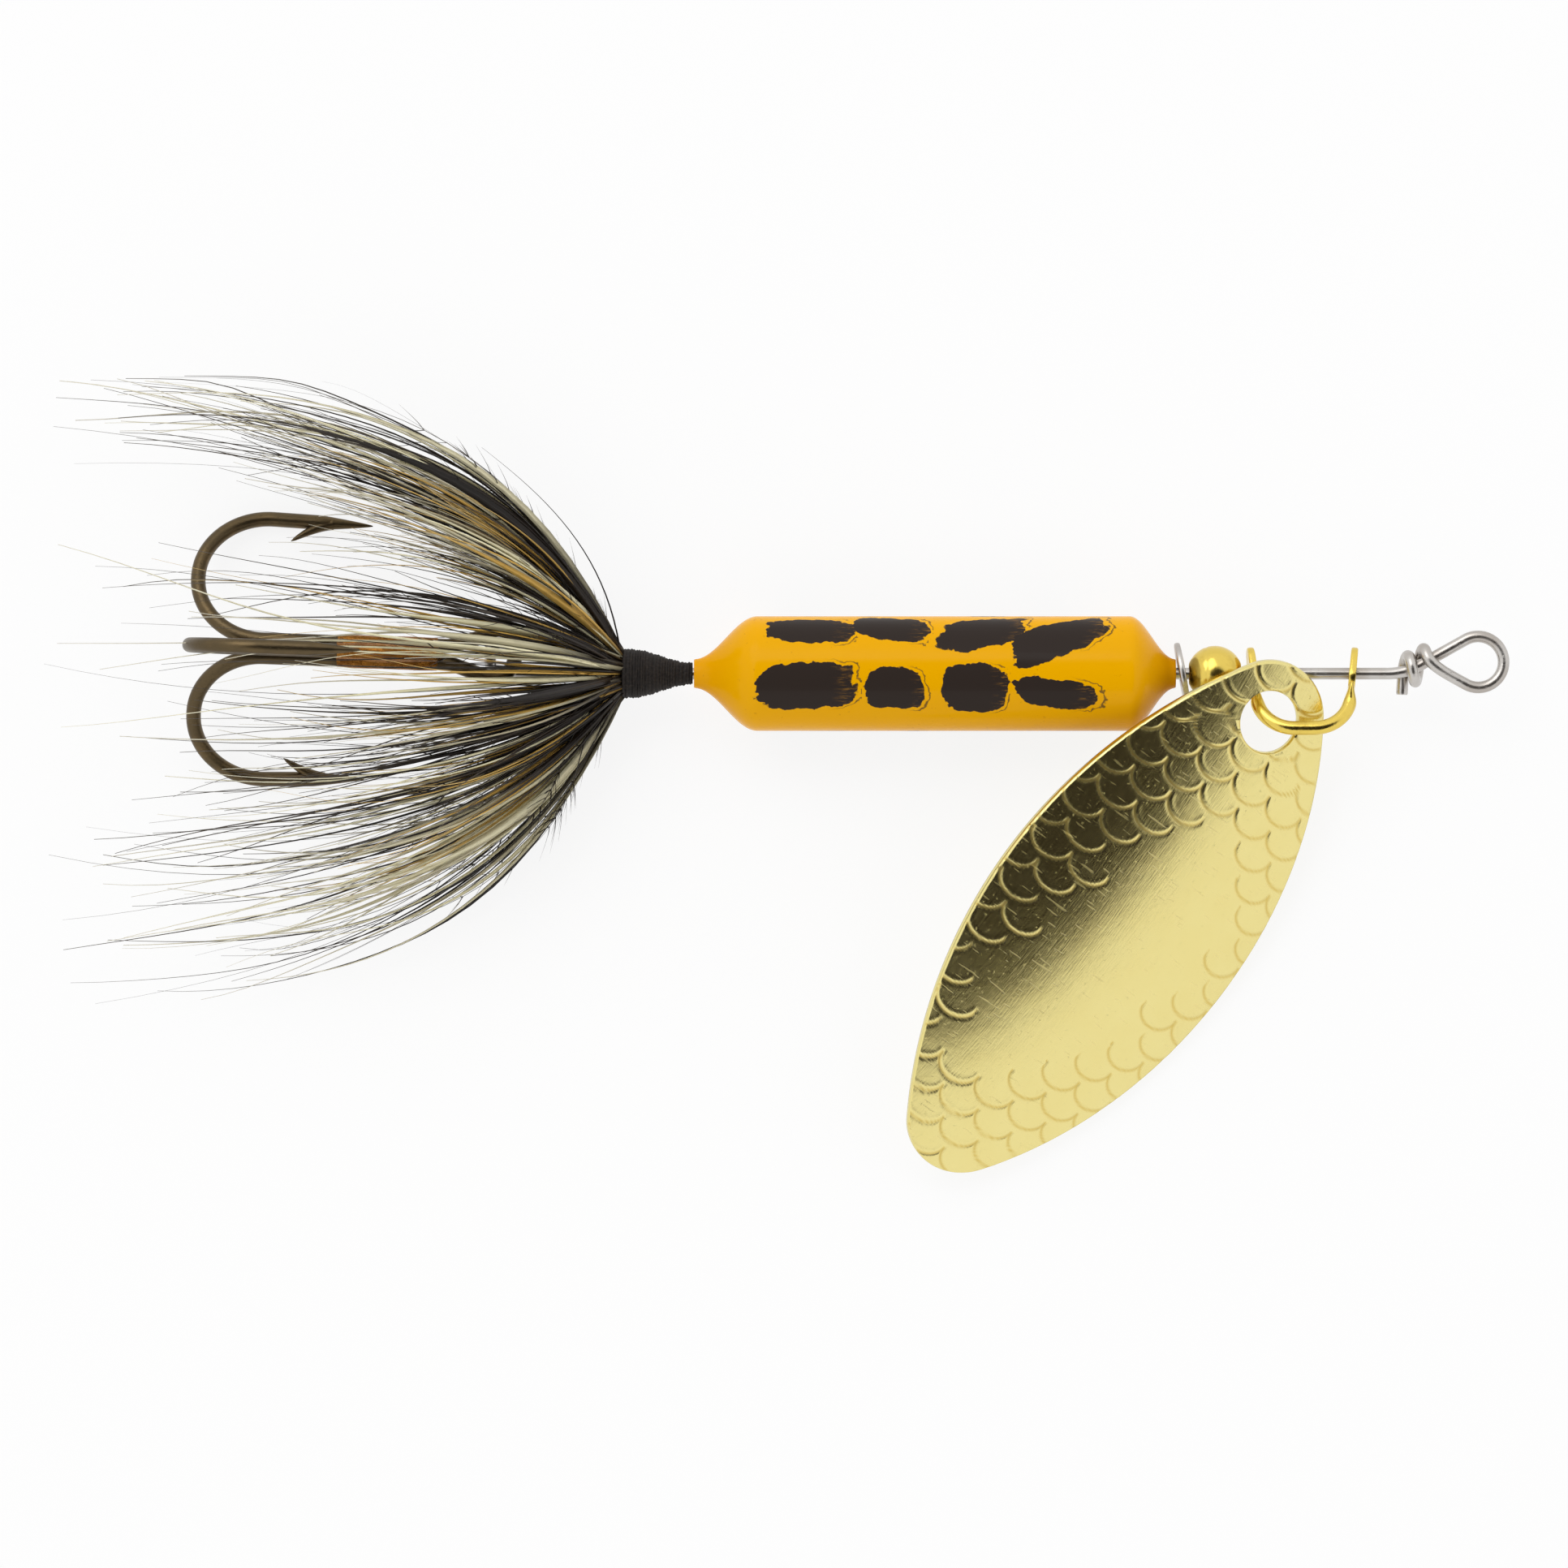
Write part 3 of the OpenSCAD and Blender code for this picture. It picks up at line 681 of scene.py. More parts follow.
class SPINNER_OT_body(Operator):
    """Make the painted lead body"""

    bl_idname = "spinner.body"
    bl_label = "Lead Body"

    def execute(self, context):
        grid, attributes = self.surface(stations())
        colours = context.scene.spinner_colours
        piece = build("painted_body", [grid], enamel_finish(colours.enamel, colours.spots),
                      attributes=attributes)
        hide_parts("lead_body")
        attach(piece, "lead_body")
        return {"FINISHED"}

    @staticmethod
    def surface(at):
        """A turned profile: half waves at both shoulders with softly rounded lips at the bore.
        Each spot is a slanted oval; its attribute is the distance from the oval's edge."""
        rear, front, r_max, r_end = at["body_rear"], at["body_front"], at["body_r"], 0.625
        bore = 0.3
        x = np.concatenate([rear + 2.75 * np.linspace(0, 1, 40),
                            np.linspace(rear + 2.85, front - 2.1, 150),
                            front - 2.0 * np.linspace(1, 0, 36)])
        r = r_end + (r_max - r_end) * np.minimum(swell((x - rear) / 2.75),
                                                 swell((front - x) / 2.0))
        lip = np.array((0.0, 0.02, 0.07))
        x = np.concatenate([rear + lip[::-1] * 0.4, x[1:-1], front - lip * 0.4])
        r = np.concatenate([[bore + 0.03, r_end - 0.1, r_end - 0.02], r[1:-1],
                            [r_end - 0.02, r_end - 0.1, bore + 0.03]])
        x = np.concatenate([[rear + 0.1], x, [front - 0.1]])
        r = np.concatenate([[bore], r, [bore]])
        grid = lathe(x, r, 192)
        share = (grid[..., 0] - rear) / (front - rear)
        turn = np.arctan2(grid[..., 1], grid[..., 2])
        edge = np.full(share.shape, 9.0)
        ahead = np.zeros(share.shape)
        for place, degrees, half_len, half_high, slant in SPOT_ROWS:
            along = (share - place) * (front - rear)
            across = (turn - math.radians(degrees) + np.pi) % (2 * np.pi) - np.pi
            across = across * r_max - slant * along
            oval = (np.abs(along / half_len) ** 3 + np.abs(across / half_high) ** 3) ** (1 / 3)
            gap = (oval - 1) * half_high
            ahead = np.where(gap < edge, along / half_len, ahead)
            edge = np.minimum(edge, gap)
        pooled = np.maximum(1 - swell(share * 8), 1 - swell((1 - share) * 9))
        return grid, {"spot": edge.ravel(), "spot_front": ahead.ravel(),
                      "pooled": pooled.ravel()}


# ---- Washer and bead ----


class SPINNER_OT_bearings(Operator):
    """Make the thrust washer and the bead"""

    bl_idname = "spinner.bearings"
    bl_label = "Washer and Bead"

    def execute(self, context):
        colours = context.scene.spinner_colours
        washer = build("steel_washer", [self.washer()], steel_finish(colours.steel))
        bead = build("brass_bead", [self.bead()], brass_finish(colours.brass, "bead_brass"))
        for piece, node, body, slot in ((washer, "thrust_washer", "washer", "steel"),
                                        (bead, "bead", "bead", "bead_brass")):
            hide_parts(node)
            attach(piece, body)
        return {"FINISHED"}

    @staticmethod
    def washer():
        """A flat ring with rounded rims, turned and then leant 10 degrees."""
        low, high = span("thrust_washer")
        r, t, bore = high[2], 0.125, 0.395
        x = np.array((-t * 0.4, -t * 0.9, -t, -t, -t, -t * 0.85, -t * 0.3,
                      t * 0.3, t * 0.85, t, t, t, t * 0.9, t * 0.4))
        radius = np.array((bore, bore + 0.03, bore + 0.08, (bore + r) / 2, r - 0.09, r - 0.03, r,
                           r, r - 0.03, r - 0.09, (bore + r) / 2, bore + 0.08, bore + 0.03, bore))
        ring = turn_z(lathe(x, radius), math.radians(10))
        return ring + np.array((0.5 * (low[0] + high[0]), 0, 0))

    @staticmethod
    def bead():
        """A turned ball with a bore, whose rims are eased and which has a faint belt."""
        low, high = span("bead")
        r, bore = high[2], 0.375
        first = math.asin(bore / r) + 0.06
        a = np.linspace(first, math.pi - first, 72)
        ball = r - 0.012 * np.exp(-((a - 1.9) / 0.05) ** 2)
        x = 0.5 * (low[0] + high[0]) + np.concatenate([[ball[0] * math.cos(first) * 0.97],
                                                       ball * np.cos(a),
                                                       [-ball[0] * math.cos(first) * 0.97]])
        return lathe(x, np.concatenate([[bore], ball * np.sin(a), [bore]]))


# ---- Clevis ----


class SPINNER_OT_clevis(Operator):
    """Make the bent clevis with its two flattened, drilled ears"""

    bl_idname = "spinner.clevis"
    bl_label = "Clevis"

    def execute(self, context):
        s = sizes(context.scene.spinner_sizes)
        low, high = span("clevis")
        rear = high[0] - (high[0] - low[0]) / 2 - s["clevis_span"] / 2
        grids = [self.bow(s, rear), self.ear(s, rear, 1),
                 self.ear(s, rear + s["clevis_span"], -1)]
        grids = [turn_x(g, -s["clevis_turn"]) for g in grids]
        piece = build("clevis_bow", grids, brass_finish(context.scene.spinner_colours.brass,
                                                        "clevis_brass"))
        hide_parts("clevis")
        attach(piece, "clevis")
        return {"FINISHED"}

    @staticmethod
    def bow(s, rear):
        """A round wire along two legs and a bottom with rounded corners. Towards the ears its
        section flattens along the shaft and widens across it, with its area kept."""
        lean, depth, front = math.tan(math.radians(6)), s["clevis_depth"], rear + s["clevis_span"]
        path = even(rounded([(rear + 0.75 * lean, -0.75, 0), (rear + 1.05 * lean, -1.05, 0),
                             (rear + depth * lean, -depth, 0), (front - depth * lean, -depth, 0),
                             (front - 1.05 * lean, -1.05, 0), (front - 0.75 * lean, -0.75, 0)],
                            [1, 1.6, 1.6, 1]), 0.08)
        t, n, b = frames(path)
        upright = np.array((0.0, 0.0, 1.0))
        side = unit(np.cross(t, upright))
        flat = 1 - swell((-path[:, 1] - 0.75) / 0.85)
        thin = s["clevis_wire"] / 2 * (1 - flat) + s["ear_thickness"] * 0.49 * flat
        wide = s["clevis_wire"] / 2 * (1 - flat) + s["ear_width"] * 0.4 * flat
        a = np.linspace(0, 2 * np.pi, 28, endpoint=False)[None, :, None]
        rings = (path[:, None] + thin[:, None, None] * side[:, None] * np.cos(a)
                 + wide[:, None, None] * upright * np.sin(a))
        ends = [np.repeat(path[i][None, None], 28, axis=1) for i in (0, -1)]
        return np.concatenate([ends[0], rings, ends[1]])

    @staticmethod
    def ear(s, x, side):
        """A drilled plate: a section that runs from the hole to the outline and back with eased
        rims, carried round the hole. The outline is a half circle above and an oval below."""
        a = np.linspace(0, 2 * np.pi, 65)[:, None]
        half_w = s["ear_width"] / 2
        out_z = half_w * np.cos(a)
        out_y = np.where(np.sin(a) > 0, 0.45 + half_w * np.sin(a), -0.25 + 0.65 * np.sin(a))
        hole = s["wire"] / 2 + 0.14
        share = np.array((0, 0.06, 0.9, 0.97, 1, 1, 0.97, 0.9, 0.06, 0, 0))[None, :]
        t = s["ear_thickness"] / 2
        depth = t * np.array((0.7, 1, 1, 0.85, 0.4, -0.4, -0.85, -1, -1, -0.7, 0.7))[None, :]
        y = hole * np.sin(a) * (1 - share) + out_y * share
        z = hole * np.cos(a) * (1 - share) + out_z * share
        plate = np.stack([depth + 0 * y, y, z], axis=-1)
        plate = turn_z(plate, math.radians(6) * side)
        return plate + np.array((x, 0, 0))


# ---- Blade ----


class SPINNER_OT_blade(Operator):
    """Make the cupped blade with its stamped scales"""

    bl_idname = "spinner.blade"
    bl_label = "Blade"

    def execute(self, context):
        b = sizes(context.scene.spinner_blade)
        grids, places, lines = self.shell(b)
        grids = [self.laid(g) for g in grids]
        piece = build("stamped_blade", grids, blade_finish(context.scene.spinner_colours.blade),
                      around=False, attributes={"sheet_place": places, "line": lines}, sharp=60)
        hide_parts("blade")
        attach(piece, "blade")
        return {"FINISHED"}

    @staticmethod
    def laid(points):
        """From the blade's own frame, with its hole at the origin, to where it lies."""
        roll, dip, heading = (math.radians(v) for v in (-22.2, 4.4, 233))
        points = turn_x(points, roll)
        c, s = math.cos(dip), math.sin(dip)
        points = points @ np.array(((c, 0, -s), (0, 1, 0), (s, 0, c)))
        return turn_z(points, heading) + np.array((-8.637, -2.070, 1.180))

    @staticmethod
    def half_width(b, x):
        """Half of the blade's width at x: a large arc along each side that runs tangent into a
        small arc round each end."""
        r, half = b["end_radius"], b["width"] / 2
        e = b["size"] / 2 - r
        side = (e ** 2 + half ** 2 - r ** 2) / (2 * (half - r))
        off = np.abs(x - e)
        along = np.sqrt(np.maximum(0, side ** 2 - off ** 2)) - (side - half)
        ends = np.sqrt(np.maximum(0, r ** 2 - (off - e) ** 2))
        return np.where(off < side * e / (side - r), along, ends)

    @staticmethod
    def height(b, x, y, up):
        """Height of the cupped sheet: part of a torus whose ring bends it along and whose tube
        bends it across, moved by up along the tube's radius."""
        e = b["size"] / 2 - b["end_radius"]
        rise = b["cup_along"] - math.sqrt(b["cup_along"] ** 2 - e ** 2)
        tube_r = b["cup_across"] + up
        ring = b["cup_along"] - b["cup_across"] + np.sqrt(tube_r ** 2 - y ** 2)
        return np.sqrt(ring ** 2 - (x - e) ** 2) + rise - b["cup_along"]

    @staticmethod
    def stamping(b, x, y):
        """Stamped scales: rows of half ovals, every other row moved half a pitch. Returns the
        relief (a groove along each line and a soft swelling inside it) and the line itself.
        Scales whose middle lies in the plain field are left out."""
        pitch, row, depth = b["scale_pitch"], b["scale_row"], 0.78
        relief, line = np.zeros(x.shape), np.zeros(x.shape)
        for step in (-1, 0, 1, 2):
            k = np.floor(x / row) + step
            shift = 0.5 * (k % 2)
            j = np.round(y / pitch - shift)
            mid_x, mid_y = k * row - depth, (j + shift) * pitch
            far = mid_x - 12.0
            plain = (far / 7.4) ** 2 + ((mid_y + 0.25 * far) / 3.7) ** 2 < 1
            u, v = (x - mid_x), (y - mid_y)
            g = np.sqrt((u / depth) ** 2 + (v / (pitch / 2)) ** 2) + 1e-9
            slope = np.sqrt((u / depth ** 2) ** 2 + (v / (pitch / 2) ** 2) ** 2) / g + 1e-9
            gap = (g - 1) / slope
            drawn = np.where(plain | (u < -0.06), 0.0, 1.0)
            groove = np.exp(-(gap / 0.06) ** 2) * drawn
            lip = np.exp(-((gap + 0.15) / 0.08) ** 2) * drawn
            line = np.maximum(line, groove)
            relief = relief - groove + 0.45 * lip
        return b["scale_depth"] * np.clip(relief, -1.1, 0.6), line

    def shell(self, b):
        """Two sheets, each a field of rows from beside the hole to the tail and a ring of rows
        from the hole out to the head, joined by rims that stand a little proud."""
        r, hole = b["end_radius"], b["hole"] / 2
        e = b["size"] / 2 - r
        start = 2.2
        x = np.concatenate([np.linspace(start, 2 * e, 210, endpoint=False),
                            2 * e + r * np.sin(np.linspace(0, np.pi / 2, 34))])
        v = np.linspace(-1, 1, 151)
        w = self.half_width(b, x)
        field_x, field_y = np.broadcast_to(x[:, None], (len(x), 151)), w[:, None] * v
        round_x = -r + (start + r) * (1 - np.sin(np.linspace(0, np.pi / 2, 86)))
        head_x = np.concatenate([round_x, round_x[-2::-1]])
        head_y = self.half_width(b, round_x)
        head_y = np.concatenate([head_y, -head_y[-2::-1]])
        loop_x = np.concatenate([np.full(150, start), head_x])
        loop_y = np.concatenate([(w[0] * v)[:-1], head_y])
        ease = 0.05

        def inset(px, py):
            return (e + (px - e) * (1 - ease / (e + r)), py * (1 - 2 * ease / b["width"]))

        far = np.hypot(loop_x, loop_y)
        in_x, in_y = inset(loop_x, loop_y)
        f = np.linspace(0, 1, 15)[:, None]
        ring_x = (hole + ease) * loop_x / far * (1 - f) + in_x * f
        ring_y = (hole + ease) * loop_y / far * (1 - f) + in_y * f
        sheets = [inset(field_x, field_y), (ring_x, ring_y)]
        half_t = b["thickness"] / 2
        grids, places, lines = [], [], []

        def keep(px, py, pz, line):
            grids.append(np.stack([px, py, pz], axis=-1))
            places.append(np.stack([px, py, 0 * px], axis=-1).reshape(-1, 3))
            lines.append(np.broadcast_to(line, px.shape).ravel())

        for px, py in sheets:
            relief, line = self.stamping(b, px, py)
            for up in (half_t, -half_t):
                keep(px, py, self.height(b, px, py, up) + relief, line)
        hole_x, hole_y = hole * loop_x / far, hole * loop_y / far
        rims = [(sheets[0][0][:, 0], sheets[0][1][:, 0], field_x[:, 0], field_y[:, 0]),
                (sheets[0][0][:, -1], sheets[0][1][:, -1], field_x[:, -1], field_y[:, -1]),
                (ring_x[-1, 150:], ring_y[-1, 150:], head_x, head_y),
                (ring_x[0], ring_y[0], hole_x, hole_y)]
        for ex, ey, mx, my in rims:
            relief, line = self.stamping(b, ex, ey)
            tops = [self.height(b, ex, ey, up) + relief for up in (half_t, -half_t)]
            mids = [self.height(b, mx, my, up) for up in (half_t * 0.55, -half_t * 0.55)]
            keep(np.stack([ex, mx, mx, ex]), np.stack([ey, my, my, ey]),
                 np.stack([tops[0], mids[0], mids[1], tops[1]]), 0.0)
        return grids, np.concatenate(places), np.concatenate(lines)


# ---- Treble hook ----


def hook_frame(points):
    """From the hooks' own frame, with the loop's bar at the origin, to where they lie."""
    return turn_z(points, math.radians(-2)) + stations()["bar"]


def hook_point(s, back, out, degrees):
    """A point that far behind the bar and out from the hooks' axis, towards an angle."""
    a = math.radians(degrees)
    drop = shank_off(s) * math.sin(math.radians(30))
    return np.array((-back, out * math.cos(a), out * math.sin(a) + drop))


def shank_off(s):
    """Distance of each shank from the hooks' axis."""
    return (s["hook_wire"] / 2 + 0.045) / math.cos(math.radians(30))


def prong(s, degrees):
    """Corners of one prong: its point, its full thickness and the two ends of the bend."""
    lean, near = 0.3, shank_off(s)
    far = near + s["hook_gap"]
    back, end = s["point_back"], s["hook_length"]
    return [hook_point(s, back, far - lean, degrees),
            hook_point(s, back + 1.7, far - lean + 1.7 * lean / (end - back), degrees),
            hook_point(s, end, far, degrees), hook_point(s, end, near, degrees)]


def hook_tube(s, path, tips, sides=24):
    """Wire that narrows to each point over its last 2.4 mm, as a gentle curve."""
    reach = np.min([np.linalg.norm(path - tip, axis=1) for tip in tips], axis=0)
    radii = s["hook_wire"] / 2 * np.clip(0.06 + 0.94 * (reach / 2.2) ** 0.8, 0, 1)
    return hook_frame(tube(path, radii, sides))


def barb(s, degrees):
    """A sliver cut up from inside the arm: it leaves the wire behind the point, leans back and
    narrows to an edge."""
    back = s["point_back"] + 1.75
    inner = shank_off(s) + s["hook_gap"] - 0.25
    f = np.linspace(0, 1, 14)
    out = inner - 0.15 * f - 0.8 * f ** 1.5
    path = np.array([hook_point(s, back + 1.75 * g, o, degrees) for g, o in zip(f, out)])
    return hook_frame(tube(path, 0.27 * (1 - f) ** 0.6 + 0.012, 12))


class SPINNER_OT_hooks(Operator):
    """Make the treble hook: the double hook, the single hook and the braze"""

    bl_idname = "spinner.hooks"
    bl_label = "Treble Hook"

    def execute(self, context):
        s = sizes(context.scene.spinner_sizes)
        colours = context.scene.spinner_colours
        bronze = bronze_finish(colours.bronze)
        double = build("double_hook_wire", self.double(s), bronze)
        single = build("single_hook_wire", self.single(s), bronze)
        braze = build("braze_run", [self.braze(s)], braze_finish(colours.braze))
        for piece, node, slot in ((double, "double_hook", "hook_bronze"),
                                  (single, "single_hook", "hook_bronze"),
                                  (braze, "braze_joint", "braze")):
            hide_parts(node)
            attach(piece, "hook")
        return {"FINISHED"}

    @staticmethod
    def double(s):
        """One wire: a prong, its shank, the eye across the loop's bar, and the other shank and
        prong."""
        right, left = prong(s, -30), prong(s, 210)
        near = shank_off(s) * math.cos(math.radians(30))
        w = (s["wire"] / 2 + s["hook_wire"] / 2 + 0.125) / math.sin(s["loop_tilt"])
        bend = s["hook_gap"] / 2 * 0.965
        corners = [*right, (-1.75, near, 0), (-0.15, w, 0), (1.05, w, 0), (1.05, -w, 0),
                   (-0.15, -w, 0), (-1.75, -near, 0), *left[::-1]]
        path = even(rounded(corners, [20, bend, bend, 1, 1, w - 0.02, w - 0.02, 1, 1, bend, bend,
                                      20], 40), 0.09)
        return [hook_tube(s, path, (path[0], path[-1])), barb(s, -30), barb(s, 210)]

    @staticmethod
    def single(s):
        """The third prong, whose shank ends in the braze."""
        arm = prong(s, 90)
        bend = s["hook_gap"] / 2 * 0.965
        path = even(rounded([*arm, hook_point(s, 2.85, shank_off(s), 90)], [20, bend, bend], 40),
                    0.09)
        return [hook_tube(s, path, (path[0],)), barb(s, 90)]

    @staticmethod
    def braze(s):
        """Metal that wraps the three shanks: in each direction its radius is the far side of
        the nearest shank with a thin coat, or the filled valley between two shanks. The coat
        thins to nothing at both ends and has slow lumps."""
        off, wire_r = shank_off(s), s["hook_wire"] / 2
        f = np.linspace(0, 1, 70)[:, None]
        a = np.linspace(0, 2 * np.pi, 72, endpoint=False)[None, :]
        coat = wire_r + 0.05 * np.sin(np.pi * f) ** 0.35 - 0.012
        coat = coat + 0.012 * np.sin(9 * f + 2 * a) * np.sin(np.pi * f)
        lobes = []
        for degrees in (-30, 90, 210):
            d = a - math.radians(degrees)
            inside = np.maximum(0, coat ** 2 - (off * np.sin(d)) ** 2)
            lobes.append(np.where(np.cos(d) > 0, off * np.cos(d) + np.sqrt(inside), 0))
        valley = 0.47 * np.sin(np.pi * np.clip(f, 0.02, 0.98)) ** 0.3
        lobes.append(valley + 0 * a)
        r = np.max(lobes, axis=0) * np.minimum(1, np.sin(np.pi * np.clip(f, 0, 1)) * 6)
        x = -2.0 - 4.85 * f
        drop = off * math.sin(math.radians(30))
        return hook_frame(np.stack([x + 0 * a, r * np.cos(a), r * np.sin(a) + drop], axis=-1))


# ---- Hackle ----


class Clump:
    """Fibres that lie together: where their tips reach, how high they stand and how many."""

    def __init__(self, side, spread, height, lift, count, reach=1.0):
        self.side, self.spread, self.height, self.lift = side, spread, height, lift
        self.count, self.reach = count, reach


CLUMPS = {
    "black": (Clump(11.9, 0.7, 1.0, 1.8, 30, 1.0), Clump(10.2, 1.0, 2.2, 2.2, 34, 0.85),
              Clump(8.2, 0.9, 3.0, 2.0, 16, 0.7), Clump(6.6, 0.6, 3.6, 1.8, 8, 0.6),
              Clump(4.0, 0.45, 4.4, 1.0, 15, 0.9), Clump(0.9, 1.3, 5.0, 1.5, 6, 0.85),
              Clump(-2.2, 0.5, 3.6, 1.6, 24, 0.75), Clump(-3.5, 0.5, 2.6, 1.8, 22, 0.85),
              Clump(-5.0, 0.5, 2.0, 1.8, 15, 0.85), Clump(-6.8, 0.6, 1.6, 1.8, 15, 0.9),
              Clump(-8.8, 0.7, 0.6, 1.6, 13, 0.9), Clump(-11.6, 1.0, -0.6, 1.2, 11, 1.0),
              Clump(-13.4, 0.5, -1.2, 0.5, 6, 1.0), Clump(8.8, 2.2, 3.8, 1.6, 64, 0.34),
              Clump(-6.2, 3.2, 3.4, 1.8, 64, 0.36), Clump(-1.8, 1.2, 4.8, 1.2, 26, 0.36),
              Clump(3.4, 1.2, 5.0, 1.2, 24, 0.4), Clump(1.5, 4.0, 8.6, 1.0, 5, 0.5)),
    "cream": (Clump(11.4, 0.8, 1.6, 1.6, 22, 0.95), Clump(9.6, 0.9, 3.0, 1.8, 24, 0.7),
              Clump(7.4, 0.7, 3.6, 1.6, 18, 0.62), Clump(1.4, 1.2, 5.4, 1.2, 9, 0.95),
              Clump(-1.0, 0.7, 5.0, 1.2, 6, 0.95), Clump(-3.0, 0.7, 3.6, 1.6, 8, 0.85),
              Clump(-5.6, 0.4, 3.0, 1.6, 9, 0.8), Clump(-7.9, 0.5, 1.8, 1.6, 12, 0.9),
              Clump(-10.2, 0.5, 1.4, 1.4, 22, 0.9), Clump(-12.3, 0.4, 0.0, 0.8, 9, 0.95),
              Clump(-1.5, 4.0, 8.2, 1.2, 4, 0.5)),
    "gold": (Clump(9.8, 1.4, 3.4, 1.4, 22, 0.55), Clump(6.8, 0.9, 4.2, 1.2, 10, 0.6),
             Clump(3.2, 0.7, 5.2, 0.8, 5, 0.8), Clump(0.2, 0.9, 5.6, 0.8, 6, 0.7),
             Clump(-2.6, 0.9, 4.4, 1.2, 13, 0.6), Clump(-6.2, 1.0, 3.2, 1.2, 13, 0.6),
             Clump(-9.6, 1.0, 2.0, 1.2, 12, 0.6)),
    "grey": (Clump(11.6, 0.8, 0.4, 1.2, 22, 0.8), Clump(9.2, 1.2, 0.6, 1.6, 20, 0.6),
             Clump(-5.4, 0.5, 0.2, 1.2, 5, 0.6), Clump(-9.4, 0.7, -0.4, 1.2, 13, 0.7),
             Clump(-12.4, 0.6, -1.2, 0.5, 8, 0.95)),
}
STRAYS = (
    # how far back and how far to the side each of a curve's four control points lies
    ((0, 0.5), (0.5, 5.0), (3.0, 7.4), (6.0, 9.7)),
    ((0, -0.6), (2.4, -2.0), (1.0, -5.0), (4.2, -7.8)),
    ((0, -0.5), (2.8, -1.6), (1.8, -4.8), (4.8, -7.1)),
    ((0, -0.5), (2.2, -5.8), (6.0, -9.8), (14.5, -13.2)),
    ((0, 0.4), (2.6, 7.0), (7.0, 11.2), (21.0, 12.4)),
    ((0, -0.4), (4.5, -2.8), (9.0, -3.6), (19.5, -1.2)),
    ((0, 0.5), (4.0, 6.5), (10.0, 9.4), (23.5, 9.0)),
    ((0, 0.4), (5.0, 5.8), (12.0, 9.4), (24.4, 10.6)),
    ((0, 0.5), (4.2, 7.4), (10.5, 12.2), (22.8, 12.6)),
    ((0, -0.5), (5.0, -6.5), (12.0, -10.5), (24.6, -7.8)),
    ((0, -0.4), (5.0, -4.5), (12.0, -9.5), (24.0, -10.6)),
    ((0, -0.5), (4.6, -5.6), (10.0, -8.6), (23.0, -6.6)),
    ((0, -0.5), (4.0, -7.8), (10.0, -12.2), (22.6, -14.2)),
    ((0, 0.3), (5.0, 0.8), (14.0, 4.4), (22.6, 4.6)),
    ((0, -0.2), (6.0, -0.4), (14.0, -2.0), (24.8, 0.4)),
)
REPLACED = {"black": (1, 4, 7, 10), "cream": (2, 5, 8), "gold": (3, 9), "grey": (6,)}


def fibre_paths(rng, clumps, h, stations_along):
    """Middle lines of fibres. Each runs back from the thread while its distance to the side
    and its height close on their own ends as one minus a decaying exponential; a slow wave
    and a drift grow towards the tip, and a soft floor keeps every fibre off the ground."""
    count = np.array([max(1, int(c.count * h["share"])) for c in clumps])

    def each(key):
        return np.repeat([getattr(c, key) for c in clumps], count)[:, None]

    n = int(count.sum())
    f = np.linspace(0, 1, stations_along)[None, :]
    side = each("side") + each("spread") * rng.normal(0, 0.6, (n, 1))
    high = each("height") + each("lift") * rng.normal(0, 0.6, (n, 1))
    reach = h["reach"] * each("reach") * (0.5 + 0.5 * rng.uniform(0, 1, (n, 1)) ** 1.3)
    flare = h["flare"] * rng.uniform(0.72, 1.3, (n, 1)) * np.where(side < 0, 0.96, 1.0)
    back = reach * f ** 1.15
    opened = 1 - np.exp(-back / flare)
    long = reach / h["reach"]
    wave = rng.normal(0, 0.55, (n, 1)) * f ** 2 * np.sin(4.2 * f + rng.uniform(0, 6, (n, 1)))
    curl = rng.normal(0, 0.35, (n, 1)) * f ** 3 * np.sin(9.0 * f + rng.uniform(0, 6, (n, 1)))
    drift = rng.normal(0, 1.3, (n, 1)) * f ** 2.6
    root = np.arctan2(high + rng.normal(0, 1.5, (n, 1)), side)
    root_r = rng.uniform(0.35, 0.92, (n, 1)) * h["root_r"]
    y = root_r * np.cos(root) + side * opened + (wave + curl + drift) * long
    z = root_r * np.sin(root) + high * opened + rng.normal(0, 0.3, (n, 1)) * f ** 2
    z = z + 0.35 * wave
    low = h["floor"] + 0.12 + 0.25 * rng.uniform(0, 1, (n, 1)) * f
    z = low + 0.35 * np.logaddexp(0, (z - low) / 0.35)
    y = h["high_y"] - 0.3 * np.logaddexp(0, (h["high_y"] - y) / 0.3)
    y = h["low_y"] + 0.3 * np.logaddexp(0, (y - h["low_y"]) / 0.3)
    x = h["x"] + rng.uniform(0.0, 0.06, (n, 1)) - back
    return np.stack([x + 0 * f, y, z], axis=-1)


def stray_paths(h, stations_along):
    """Single fibres that stand away from the rest: Bezier curves on four control points."""
    f = np.linspace(0, 1, stations_along)[:, None]
    p = np.array(STRAYS)[:, :, None]
    flat = ((1 - f) ** 3 * p[:, 0] + 3 * (1 - f) ** 2 * f * p[:, 1] + 3 * (1 - f) * f ** 2 * p[:, 2]
            + f ** 3 * p[:, 3])
    return np.stack([h["x"] - flat[..., 0], flat[..., 1], 0.4 + 1.4 * f[:, 0] + 0 * flat[..., 0]],
                    axis=-1)


